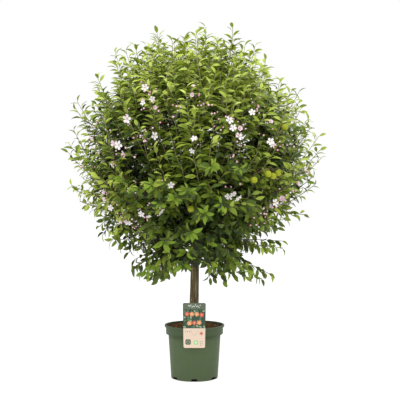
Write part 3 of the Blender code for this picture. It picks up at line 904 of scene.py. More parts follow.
def tone_with_painted_light(shoot, rng):
    """How bright a shoot's leaves are, as a place in SHADES: painted light towards the top and the surface,
    painted shade inside and low down.
    """
    x, y, z = shoot.direction
    middle, spread, fall = LAYER_SHADES[shoot.layer]
    # top is painted light on the crown's top
    top = ease((z - 0.3) / 0.5)
    if shoot.layer == "plume":
        return middle + 0.5 * top + rng.uniform(-spread, spread)
    # climb is painted light rising towards the top; fall is painted shade towards the crown's foot
    climb = 1.2 if shoot.layer == "leader" else 2.0
    rise = z * (climb if z > 0 else fall * (1 - 0.6 * abs(x)))
    # Painted shade on the lowest sprays, more on the right
    if shoot.layer == "spray":
        rise -= (0.7 + 0.8 * x) * ease((-z - 0.78) / 0.1)
    # Painted light on the low sides and the skirt; painted shade behind the top and on the upper sides
    if shoot.layer in ("outer", "leader"):
        painted_light_low_sides = (1.7 - 0.8 * x) * x**2 * ease((0.15 - z) / 0.5)
        skirt = ease((-z - 0.80) / 0.1)
        painted_shade_behind_top = 0.9 * ease((y + 0.15) / 0.5) * ease((z - 0.4) / 0.4)
        painted_shade_high_sides = (0.8 - 0.35 * x) * x**2 if z > -0.1 else 0
        rise += painted_light_low_sides + skirt - painted_shade_behind_top - painted_shade_high_sides
    return middle + rise + 1.3 * top + rng.uniform(-spread, spread)


ROOM_STEPS = 4
ROOM_STEP = 0.016
ROOM_RADIUS = 0.013


def flower_room():
    """The places that leaves keep clear of: each flower and apple, and the way out in front of it."""
    heads = [(place, face) for place, face, *_ in deal_blossom()[0] if abs(place.x) < 0.40]
    heads += [(place, VIEW) for group in apple_places() for place in group]
    room = KDTree(ROOM_STEPS * len(heads))
    for place, face in heads:
        for k in range(ROOM_STEPS):
            room.insert(place + face * (ROOM_STEP * k), 0)
    room.balance()
    return room


def kept_clear(blade, room):
    """Whether a place is kept clear of blades: by flowers and apples, before the trunk and round its top."""
    round_top = blade.z < CROWN_FOOT and blade.xy.length < FOOT_CLEAR
    before_trunk = abs(blade.x) < LEAVES_CLEAR and blade.z < TRUNK_SHOWS
    return room.find(blade)[2] < ROOM_RADIUS or round_top or before_trunk


LEAFY_SHARE = 0.88  # of a shoot's length, measured back from its tip
WHORL = 7  # leaves round a rosette's tip
LEAF_SIZES = (0.85, 1.10)
LEAF_WIDTHS = (0.85, 1.10)
BLADE_MIDDLE = 0.6  # along a leaf with its stalk


class LeafyShoot:
    """The leaves of one shoot. It is low from 0 to 1, and its shades vary down by dull and up by lit."""

    def __init__(self, shoot, number):
        sizes = bpy.context.scene.apple_tree_sizes
        x, _, z = shoot.direction
        spray = shoot.layer == "spray"
        self.shoot = shoot
        self.rng = random.Random(SEED + 50 + number)
        self.rosette = shoot.layer == "rosette"
        self.low = ease((-0.10 - z) / 0.6)
        self.hang = 0.45 if spray else 0.0
        self.open_side = VIEW * (0.9 if spray else 1.6 if self.rosette else 0.6 * x**2)
        # dull and lit widen the random spread of shades by place: darker leaves in the top cap and on the
        # sides, brighter ones on the low sides, as painted shade and painted light
        on_top = ease((z - 0.62) / 0.25)
        self.dull = 0.5 * self.low + 0.9 * on_top + (0.7 - 0.4 * x) * x**2 + (0.7 if spray else 0)
        if shoot.layer == "plume":
            self.dull = -0.3
        self.lit = 0.8 + 0.2 * self.low + 0.9 * self.low * x**2
        self.lime = self.rosette or self.rng.random() < 0.06 * ease((0.30 - z) / 0.6)
        self.value = tone_with_painted_light(shoot, self.rng)
        self.length = sizes.leaf_length
        self.side_size = 1 - (0.03 + 0.15 * ease((0.25 - z) / 0.5)) * x**2
        spacing = sizes.leaf_spacing * (1.0 if spray else 1 + 0.25 * self.low)
        self.count = int(shoot.length() * LEAFY_SHARE / spacing)
        self.turn = self.rng.uniform(0, math.tau)

    def leaves(self, room):
        """Shade, template's number and placement of each leaf that has room, a rosette's whorl last."""
        shares = [1 - LEAFY_SHARE + LEAFY_SHARE * (k + 0.5) / self.count for k in range(self.count)]
        shares += [0.94 + 0.01 * k for k in range(WHORL)] if self.rosette else []
        for k, share in enumerate(shares):
            leaf = self.leaf(k, share, room)
            if leaf:
                yield leaf

    def leaf(self, k, share, room):
        """The leaf of this number at a share of the shoot's length, or None where the place is kept clear."""
        rng = self.rng
        whorl = k >= self.count
        root, way = self.shoot.at(share)
        way = (way * 0.3 + VIEW if whorl else way + UP * (0.7 - 0.7 * self.low)).normalized()
        tight = 0 if whorl else ease((share - 0.85) / 0.15)
        small = 0.30 * ease((root.z - 0.60) / 0.10) if whorl else 0.12 * tight
        size = rng.uniform(*LEAF_SIZES) * (1 - small) * self.side_size
        spread = math.radians(rng.uniform(66, 88) if whorl else rng.uniform(50, 74) - 24 * tight)
        sag = rng.uniform(0.02, 0.20) + (0.2 if whorl else 0.36 * self.low + self.hang)
        along = leaf_way(way, leaf_side(way, self.turn, k, rng), spread, sag)
        self.turn += (math.tau / 6.4 if whorl else GOLDEN_ANGLE) + rng.uniform(-0.3, 0.3)
        shade = self.shade(k, share)
        width = rng.uniform(*LEAF_WIDTHS)
        length = self.length * size
        which = rng.randrange(2) + 2 * (rng.random() < 0.15 + 0.7 * self.low + 2 * self.hang)
        if kept_clear(root + along * length * BLADE_MIDDLE, room):
            return None
        face = leaf_face(root, along, way, self.open_side, rng)
        return shade, which, leaf_placement(root, along, face, length, width)

    def shade(self, k, share):
        """A leaf's shade: brighter near the shoot's tip, where leaves are young, and darker under a rosette's
        whorl, a painted shade.
        """
        whorl = k >= self.count
        near_tip = k > self.count + 1 or (share > 0.62 and not self.rosette)
        varied = self.rng.uniform(-0.9 - self.dull, self.lit)
        value = self.value + 0.9 * near_tip + varied - 1.2 * (self.rosette and not whorl)
        return "lime" if self.lime and near_tip else SHADES[min(len(SHADES) - 1, max(0, int(value)))]


def deal_leaves():
    """Placements of every leaf, by shade and by template."""
    room = flower_room()
    hands = {}
    for number, shoot in enumerate(grown_crown()):
        if shoot.leafy:
            for shade, which, placement in LeafyShoot(shoot, number).leaves(room):
                hands.setdefault(shade, [[], [], [], []])[which].append(placement)
    return hands


# Pieces of the tree


def bark_relief(place):
    """How far bark stands out at a place: narrow furrows, plates between them, and slow swellings."""
    x, y, z = place
    furrow = noise.noise(Vector((x * 260, y * 260, z * 26)))
    plate = noise.noise(Vector((x * 90, y * 90, z * 14 + 3)))
    swell = noise.noise(Vector((x * 20, y * 20, z * 9 + 7)))
    return 0.00042 * furrow + 0.0005 * plate + 0.0009 * swell


class APPLETREE_OT_limbs(bpy.types.Operator):
    """Bark with its relief on the trunk and every bough"""

    bl_idname = "apple_tree.limbs"
    bl_label = "Trunk and boughs"

    def execute(self, context):
        steps = 220
        heights = [TRUNK_FOOT + (TRUNK_TOP - TRUNK_FOOT) * k / steps for k in range(steps + 1)]
        lines = [([trunk_point(z) for z in heights], [trunk_radius(z) for z in heights], 56)]
        lines += [(mass.points, mass.radii, 14) for mass in mass_plan()]
        made = tubes("trunk_and_boughs", lines)
        for corner in made.data.vertices:
            out = Vector((corner.co.x, corner.co.y, 0))
            if 1e-4 < out.length < 0.03:
                corner.co = corner.co + out.normalized() * bark_relief(corner.co)
        names = [f"bough_{mass.name}" for mass in mass_plan()]
        finish_piece(made, bark_shader(), "bark", "trunk", *names)
        return {"FINISHED"}


def bark_shader():
    """Brown bark: fine upright streaks, dark furrows, a pale grey-brown skin, and painted light, lighter at
    the front and darker at the back.
    """
    shader = Shader("bark", (0.12, 0.085, 0.040), 0.85, Specular_IOR_Level=0.25)
    streaks = shader.noise(0.0058, 6, (1, 1, 0.10), 0.66)
    patches = shader.noise(0.018, 3, (1, 1, 0.35))
    grain = shader.noise(0.0011, 2, (1, 1, 0.3))
    furrow, ridge, crest = (0.030, 0.020, 0.008), (0.108, 0.081, 0.038), (0.300, 0.248, 0.146)
    wood = shader.ramp(streaks, (0.36, furrow), (0.50, ridge), (0.62, crest))
    skin = shader.mix(patches * 0.2, wood, (0.150, 0.122, 0.066))
    # Painted light: the side facing -Y is lighter and the back darker
    facing_front = shader.coordinate("Y") * (-0.5 / TRUNK_RADIUS) + 0.5
    back, middle, front = (0.70, 0.70, 0.70), (0.80, 0.80, 0.79), (1.32, 1.30, 1.24)
    light = shader.ramp(facing_front, (0.30, back), (0.55, middle), (0.95, front))
    shader.set(Base_Color=shader.tinted(skin, light), Roughness=0.72 + 0.2 * grain)
    shader.set(Normal=shader.bump(streaks * 0.7 + grain * 0.3, 0.0010))
    return shader


class APPLETREE_OT_twigs(bpy.types.Operator):
    """Woody shoots inside the crown and the young shoots that carry the leaves"""

    bl_idname = "apple_tree.twigs"
    bl_label = "Twigs"

    def execute(self, context):
        crown = grown_crown()
        old = tubes("twigs_woody", [(shoot.points, shoot.radii, 6) for shoot in crown if not shoot.leafy])
        finish_piece(old, Shader("twig_bark", (0.105, 0.070, 0.042), 0.75), "bark")
        # Leafy twigs that point up take a pale green-brown, partly young wood and partly painted light; those
        # that point down take a darker brown that is painted shade
        green_brown, brown = (0.27, 0.25, 0.115), (0.105, 0.075, 0.036)
        for name, colour, high in (("young", green_brown, True), ("shaded", brown, False)):
            leafy = [shoot for shoot in crown if shoot.leafy and (shoot.direction.z > -0.2) == high]
            made = tubes(f"twigs_{name}", [(shoot.points, shoot.radii, 4) for shoot in leafy])
            finish_piece(made, Shader(f"{name}_twig", colour, 0.60), "bark")
        return {"FINISHED"}


class APPLETREE_OT_leaves(bpy.types.Operator):
    """Sprays of leaves, one piece for each shade"""

    bl_idname = "apple_tree.leaves"
    bl_label = "Leaves"

    def execute(self, context):
        colours = context.scene.apple_tree_colours
        templates = [
            leaf_template("leaf_arched", 0.170, 0.40, 0.46, 0.36, 0.05),
            leaf_template("leaf_hooked", 0.160, 0.50, 0.64, 0.42, 0.04),
            leaf_template("leaf_broad", 0.198, 0.32, 0.40, 0.30, 0.05),
            leaf_template("leaf_broad_wavy", 0.188, 0.36, 0.52, 0.40, 0.09),
        ]
        masses = [f"foliage_{mass.name}" for mass in mass_plan()]
        for shade, hands in sorted(deal_leaves().items()):
            shader = Shader(f"leaf_{shade}", getattr(colours, f"{shade}_leaf"), 0.46, Specular_IOR_Level=0.2)
            made = dealt(f"leaves_{shade}", list(zip(templates, hands)), shader, "leaves")
            if shade == "full":
                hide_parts(*masses)
        return {"FINISHED"}


# Blossom


PETAL_ROWS = ((0.10, 0.10, 0.0), (0.42, 0.36, 0.10), (0.78, 0.50, 0.18), (1.0, 0.20, 0.16))
PETALS = 5
STAMENS = 9


def petal_template(name, long, wide, cup):
    """The petals of a flower round its middle, each cupped up at its rim."""
    edge = 0.10 * cup
    rows = [(along * long, half * wide, level * cup, edge, edge) for along, half, level in PETAL_ROWS]
    return blade_template(name, rows).spun(PETALS)


def stamen_template():
    """A ring of fine stamens round the flower's middle, each a thin three-sided spike with a head."""
    spike = {"vertices": 3, "radius1": 0.012, "radius2": 0.030, "depth": 0.26, "location": (0, 0, 0.13)}
    made = started("stamen", bpy.ops.mesh.primitive_cone_add, **spike)
    bpy.ops.mesh.select_all(action="SELECT")
    bpy.ops.transform.rotate(value=-0.5, orient_axis="X", center_override=(0, 0, 0))
    bpy.ops.transform.translate(value=(0, 0.05, 0))
    return Template(made).spun(STAMENS)


def bud_template():
    """A closed bud, about one unit across, pointed at its tip."""
    ball = {"segments": 8, "ring_count": 6, "radius": 0.5, "location": (0, 0, 1.1)}
    made = started("bud", bpy.ops.mesh.primitive_uv_sphere_add, **ball)
    pick(made, lambda place: place.z > 0.4)
    bpy.ops.transform.resize(value=(0.6, 0.6, 1.3))
    return Template(made)


def calyx_template():
    """The green cup under a flower."""
    cup = {"vertices": 5, "radius1": 0.05, "radius2": 0.22, "depth": 0.24, "location": (0, 0, -0.11)}
    return Template(started("calyx", bpy.ops.mesh.primitive_cone_add, **cup))


def facing(place, face, size, turn=0.0):
    """A placement with +Z along face, turned about it."""
    face = face.normalized()
    side = Matrix.Rotation(turn, 3, face) @ any_side(face)
    return placed(place, side * size, face.cross(side) * size, face * size)


CLUSTER_DEPTH = 0.075
SPUR_RADII = [0.0013, 0.0011, 0.0010]
STALK_RADII = [0.0006, 0.0005, 0.0005]
HALF_OPEN = 0.2  # share of the flowers
PINK = 0.22  # share of the buds


def cluster_roots(rng):
    """Spurs that bear flowers: those that the photograph shows, and others over the sides and the back."""
    roots = [(seen_at(across, down, CLUSTER_DEPTH), flowers, True) for across, down, flowers in CLUSTERS_SEEN]
    for shoot in grown_crown():
        out = shoot.direction
        if shoot.layer != "outer" or out.z > 0.70 or out.z < -0.60 or rng.random() > 0.30:
            continue
        place = CROWN_CENTRE + out * (reach(out) - rng.uniform(0.080, 0.110))
        if place.y > -0.22 and abs(out.x) < 0.86 and out.xz.length < 0.94:
            roots.append((place, rng.choice((0, 0, 1, 1, 2, 3)), False))
    return roots


@functools.cache
def deal_blossom():
    """Flowers and buds as (place, face, size, kind), and their stalks, in clusters on spurs."""
    sizes = bpy.context.scene.apple_tree_sizes
    rng = random.Random(SEED + 80)
    wood = wood_points("limb", "outer", "leader", "inner")
    heads = []
    stalks = []
    for root, flowers, seen in cluster_roots(rng):
        out = (outward(root) + (VIEW * 0.4 if seen else UP * 0.2)).normalized()
        foot = nearest(wood, root)
        stalks.append(([foot, (foot + root) / 2 - UP * 0.002, root], SPUR_RADII, 4))
        for k in range(flowers + rng.randint(3, 6)):
            spread = scatter(rng, 1)
            face = (out + spread).normalized()
            place = root + face * rng.uniform(0.012, 0.022) + spread * 0.012
            stalks.append(([root, (root + place) / 2 - UP * 0.001, place - face * 0.003], STALK_RADII, 3))
            if k < flowers:
                kind = "blush" if rng.random() < HALF_OPEN else "open"
                size = sizes.flower_width / 2 * rng.uniform(0.7, 1.15)
            else:
                size = rng.uniform(0.0042, 0.0078)
                kind = "bud" if rng.random() < PINK else "pale_bud"
            heads.append((place, face, size, kind))
    return heads, stalks


class APPLETREE_OT_blossom(bpy.types.Operator):
    """Open flowers, half-open flowers and buds in clusters"""

    bl_idname = "apple_tree.blossom"
    bl_label = "Blossom"

    def execute(self, context):
        colours = context.scene.apple_tree_colours
        rng = random.Random(SEED + 90)
        heads, stalks = deal_blossom()
        hands = {kind: [] for kind in ("open", "blush", "bud", "pale_bud")}
        for place, face, size, kind in heads:
            hands[kind].append(facing(place, face, size, rng.uniform(0, math.tau)))
        flowers = hands["open"] + hands["blush"]
        green = Shader("flower_stalk", (0.17, 0.20, 0.06), 0.6)
        wide = petal_template("petal", 1.0, 0.68, 1.3)
        cupped = petal_template("petal_cupped", 0.70, 0.66, 3.2)
        bud = bud_template()
        for name, template, placements, shader in (
            ("petals_white", wide, hands["open"], Shader("petal", colours.petal, 0.6)),
            ("petals_blush", cupped, hands["blush"], Shader("petal_blush", colours.blush, 0.6)),
            ("flower_stamens", stamen_template(), flowers, Shader("stamens", (0.52, 0.36, 0.10), 0.7)),
            ("flower_buds", bud, hands["bud"], Shader("bud", colours.bud, 0.55)),
            ("flower_buds_pale", bud, hands["pale_bud"], Shader("pale_bud", (0.80, 0.52, 0.58), 0.55)),
            ("flower_calyx", calyx_template(), flowers, green),
        ):
            dealt(name, [(template, placements)], shader, "leaves")
        finish_piece(tubes("flower_stalks", stalks), green, "leaves")
        return {"FINISHED"}


# Apples


APPLE_DEPTH = 0.095  # under the crown's surface


@functools.cache
def apple_places():
    """The middle of each apple, in the groups that share a twig."""
    return [[seen_at(*pixel, APPLE_DEPTH) for pixel in group] for group in APPLES_SEEN]


def apple_template():
    """A round apple, one unit across, hollowed at the stalk and at the eye."""
    made = started("apple", bpy.ops.mesh.primitive_uv_sphere_add, segments=20, ring_count=14, radius=0.5)
    for pole in (-1, 1):
        pick(made, lambda place, pole=pole: place.z * pole > 0.47)
        bpy.ops.transform.translate(value=(0, 0, -0.10 * pole))
        pick(made, lambda place, pole=pole: place.z * pole > 0.36 and place.xy.length < 0.08)
        bpy.ops.transform.translate(value=(0, 0, -0.05 * pole))
    return Template(made)


class APPLETREE_OT_apples(bpy.types.Operator):
    """Small green apples on bare twigs at the front of the crown"""

    bl_idname = "apple_tree.apples"
    bl_label = "Young apples"

    def execute(self, context):
        width = context.scene.apple_tree_sizes.apple_width
        wood = wood_points("limb", "stem")
        placements = []
        twigs = []
        for group in apple_places():
            knees = [place + UP * width * 0.85 - VIEW * 0.008 for place in group]
            for place, knee in zip(group, knees):
                top = place + UP * width * 0.40
                placements.append(facing(place, Vector((place.x * 0.2, 0.1, 1)), width, place.x * 40))
                twigs.append(([top, (top + knee) / 2, knee], [0.0008, 0.0008, 0.0011], 5))
            foot = nearest(wood, knees[0])
            middle = foot.lerp(knees[0], 0.5) + UP * 0.006
            twigs.append(([foot, middle, *knees], [0.0022, 0.0018] + [0.0014] * len(knees), 6))
        shader = Shader("apple_skin", context.scene.apple_tree_colours.apple, 0.45, Specular_IOR_Level=0.2)
        dealt("young_apples", [(apple_template(), placements)], shader, "leaves")
        finish_piece(tubes("apple_twigs", twigs), Shader("apple_twig", (0.15, 0.085, 0.045), 0.7), "bark")
        return {"FINISHED"}


# Pot and soil


# The pot's outline as (radius, height), from its underside up its wall, round the rim and down to its floor
POT_STANDING_RING = [(0.0200, 0.0008), (0.0805, 0.0008), (0.0815, 0.0), (0.0912, 0.0), (0.0926, 0.0005)]
POT_WALL = [(0.0933, 0.0020), (0.0943, 0.020), (0.1040, 0.168), (0.1043, 0.1705), (0.1052, 0.1725)]
POT_BAND = [(0.1122, 0.1752), (0.1137, 0.1764), (0.1140, 0.179), (0.1145, 0.2010), (0.1150, 0.2024)]
POT_LIP = [(0.1186, 0.2034), (0.1195, 0.2043), (0.1197, 0.2065), (0.1197, 0.2097), (0.1194, 0.2110)]
POT_RIM = [(0.1184, 0.2115), (0.1140, 0.2115), (0.1132, 0.2110), (0.1127, 0.2090), (0.1125, 0.1802)]
POT_INSIDE = [(0.1030, 0.1712), (0.0897, 0.0032), (0.0400, 0.0028), (0.0005, 0.0028)]
POT_OUTLINE = POT_STANDING_RING + POT_WALL + POT_BAND + POT_LIP + POT_RIM + POT_INSIDE
NOTCH_ANGLES = (0, 56, 124, 180, 236, 304)
NOTCH_RADIUS = 0.0979
NOTCH_DEPTH = 0.0172
NOTCH_HEIGHT = 0.0210
NOTCH_ROUNDING = 0.003
FRONT_NOTCH_WIDTH = 0.025
SIDE_NOTCH_WIDTH = 0.031
# Painted shade: plastic nearer the axis than POT_SKIN is painted near black, in the notches and under the pot
POT_SKIN = 0.0908  # radius inside which the plastic is in the dark of the notches


class APPLETREE_OT_pot(bpy.types.Operator):
    """The nursery pot with its lip, band, shoulder and notched foot"""

    bl_idname = "apple_tree.pot"
    bl_label = "Pot"

    def execute(self, context):
        made = turned("pot_shell", POT_OUTLINE, 144)
        for angle in NOTCH_ANGLES:
            notch = self.notch(FRONT_NOTCH_WIDTH if angle % 180 == 0 else SIDE_NOTCH_WIDTH, angle)
            apply_modifier(made, "BOOLEAN", operation="DIFFERENCE", object=notch)
            bpy.data.objects.remove(notch)
        smooth_shade(made, 28)
        finish_piece(made, pot_shader(context.scene.apple_tree_colours.pot), "pot_plastic", "pot")
        return {"FINISHED"}

    def notch(self, width, angle):
        """The block that cuts one notch, with rounded corners."""
        block = {"size": 1, "location": (0, -NOTCH_RADIUS, 0), "scale": (width, NOTCH_DEPTH, NOTCH_HEIGHT)}
        made = started("notch", bpy.ops.mesh.primitive_cube_add, **block)
        bpy.ops.mesh.select_all(action="SELECT")
        bpy.ops.mesh.bevel(offset=NOTCH_ROUNDING, segments=3)
        settle(made)
        made.rotation_euler.z = math.radians(angle)
        settle(made)
        return made


def pot_shader(green):
    """Satin moulded plastic: upright streaks, fine grain, dust, and painted shade under and on the band, at
    the foot and in the notches.
    """
    shader = Shader("pot_plastic", green, 0.52, Specular_IOR_Level=0.12)
    streaks = shader.noise(0.010, 3, (1, 1, 0.06))
    grain = shader.noise(0.0012, 2)
    dust = shader.noise(0.045, 4)
    dim, bright = [channel * 0.93 for channel in green], [channel * 1.07 for channel in green]
    dusty = shader.mix((dust > 0.62) * 0.06, shader.mix(streaks, dim, bright), (0.20, 0.22, 0.15))
    # Painted shade by height: darker towards the foot, a dark line where the band meets the shoulder, and the
    # band and lip darker than the body
    shade = shader.ramp(
        shader.coordinate("Z") * (1 / POT_TOP),
        (0.0, (0.84, 0.84, 0.82)),
        (0.30, (0.94, 0.94, 0.94)),
        (0.60, (1.0, 1.0, 1.0)),
        (0.74, (0.96, 0.96, 0.95)),
        (0.835, (0.64, 0.64, 0.63)),
        (0.865, (0.80, 0.81, 0.85)),
        (1.0, (0.84, 0.84, 0.90)),
    )
    # Painted shade: near black inside the notches and under the pot
    outside = shader.distance_from_axis() > POT_SKIN
    colour = shader.mix(outside, (0.006, 0.007, 0.005), shader.tinted(dusty, shade))
    shader.set(Base_Color=colour, Roughness=0.42 + 0.14 * dust, Normal=shader.bump(grain, 0.00012))
    return shader


SOIL_EDGE = 0.1121
SOIL_TOP = SOIL_LEVEL + 0.002
SOIL_SIDE = [(0.0848, 0.0034), (0.0866, 0.0150), (0.1024, 0.1755), (SOIL_EDGE, 0.1805), (SOIL_EDGE, SOIL_TOP)]
SOIL_MOUND = 0.0035


class APPLETREE_OT_soil(bpy.types.Operator):
    """Lumpy potting soil inside the rim"""

    bl_idname = "apple_tree.soil"
    bl_label = "Soil"

    def execute(self, context):
        rings = 40
        profile = list(SOIL_SIDE)
        for k in range(1, rings + 1):
            profile.append((SOIL_EDGE * (1 - k / rings) + 0.0004, SOIL_TOP + SOIL_MOUND * ease(k / 26)))
        made = turned("soil_fill", profile, 150)
        for corner in made.data.vertices:
            place = corner.co
            if place.z > SOIL_TOP - 0.0005 and place.xy.length < SOIL_EDGE - 0.0005:
                clods = noise.noise(place * 95) * 0.0018 + noise.noise(place * 260) * 0.0013
                corner.co.z += clods + abs(noise.noise(place * 620)) * 0.0018
        smooth_shade(made, 60)
        finish_piece(made, soil_shader(), "potting_soil", "soil")
        return {"FINISHED"}


def soil_shader():
    """Moist peat with dark hollows and orange-brown fibres and crumbs, painted near black low down as shade
    in the pot's notches.
    """
    shader = Shader("potting_soil", (0.05, 0.03, 0.016), 0.95, Specular_IOR_Level=0.04)
    clods = shader.noise(0.0075, 5)
    crumbs = shader.noise(0.0022, 3)
    hollow, peat, clod = (0.007, 0.003, 0.001), (0.054, 0.023, 0.007), (0.200, 0.100, 0.030)
    earth = shader.ramp(clods, (0.44, hollow), (0.51, peat), (0.58, clod))
    fibres = shader.mix((crumbs > 0.60) * 0.55, earth, (0.34, 0.19, 0.065))
    # Painted shade: below 5 cm, where the soil shows through the notches, it is near black
    deep = shader.mix(shader.coordinate("Z") > 0.05, (0.004, 0.003, 0.002), fibres)
    shader.set(Base_Color=deep, Normal=shader.bump(crumbs, 0.0012))
    return shader


# Label: places on it are (across from its middle, height over the ground)


LABEL_TOP_WIDTH = 0.089
LABEL_FOOT_WIDTH = 0.083
LABEL_CORNER = 0.0062
CARD = 0.0008  # thickness of the card
CARD_EDGE = 0.0002
HOOK_WIDTH = 0.026
HOOK_FRONT = -0.1197
HOOK_INSIDE = -0.1102
HOOK_DROP = 0.0040
BAND_FOOT = 0.286
PICTURE_FOOT = 0.213
GARLAND_TOP = 0.311
DARK_TILE = (-0.024, 0.160)
GREEN_TILE = (0.006, 0.158)
SUN = (0.027, 0.193)
TAB = (0, 0.2075)
INKS = {
    "leaf_dark": (0.020, 0.085, 0.045),
    "leaf_mid": (0.085, 0.190, 0.085),
    "leaf_light": (0.250, 0.380, 0.210),
    "coral": (0.71, 0.120, 0.065),
    "apricot": (0.84, 0.360, 0.150),
    "cream": (0.86, 0.72, 0.42),
    "white": (0.80, 0.82, 0.76),
    "dark_tile": (0.095, 0.120, 0.085),
    "tile_mark": (0.45, 0.52, 0.35),
    "green_tile": (0.330, 0.680, 0.250),
    "green_mark": (0.75, 0.86, 0.62),
    "sun": (0.66, 0.060, 0.035),
    "grey": (0.30, 0.33, 0.30),
    "tab_line": (0.60, 0.44, 0.33),
}


def printed(across, height, size, turn=0.0, stretch=1.0, layer=1):
    """Where a flat motif lies on the card's front: layers of ink are a hair proud of each other."""
    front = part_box("plant_label")[0][1]
    lie = Matrix(((1, 0, 0, across), (0, 0, -1, front - 0.00006 * layer), (0, 1, 0, height), (0, 0, 0, 1)))
    return lie @ Matrix.Rotation(turn, 4, "Z") @ Matrix.Diagonal((size * stretch, size, 1, 1))


def printed_round(middle, radius, angles, size, height_radius=None):
    """The same mark at each angle round a middle."""
    rise = height_radius or radius
    across, height = middle
    return [printed(across + radius * math.cos(a), height + rise * math.sin(a), size) for a in angles]


def flat_motif(name, corners, shape):
    """A flat outline one unit across, from a circle whose corners are moved by a shape function."""
    made = started_disc(name, corners, 0.5)
    move_corners(made, lambda _, place: shape(place))
    return Template(made)


def leaf_outline(place):
    pointed = 0.42 * (1 - abs(2 * place.y) ** 1.6)
    return Vector((math.copysign(pointed, place.x) if abs(place.x) > 1e-4 else 0, place.y, 0))


def blossom_outline(place):
    angle = math.atan2(place.y, place.x)
    return place * (0.72 + 0.28 * abs(math.cos(2.5 * angle)) ** 0.7)


def tile_outline(place):
    """A square with round corners."""
    power = 5.0
    share = (abs(2 * place.x) ** power + abs(2 * place.y) ** power) ** (-1 / power)
    return place * share


def card_outline(y, foot, top):
    """The card seen from the front: a little narrower at its foot, with rounded corners."""
    head = (top - LABEL_CORNER, LABEL_TOP_WIDTH)
    base = (foot + LABEL_CORNER, LABEL_FOOT_WIDTH)
    outline = []
    for quarter, (sign, (height, width)) in enumerate(((1, head), (-1, head), (-1, base), (1, base))):
        for step in range(9):
            angle = math.radians(90 * quarter + step * 11.25)
            x = sign * (width / 2 - LABEL_CORNER) + LABEL_CORNER * math.cos(angle)
            outline.append(Vector((x, y, height + LABEL_CORNER * math.sin(angle))))
    return outline


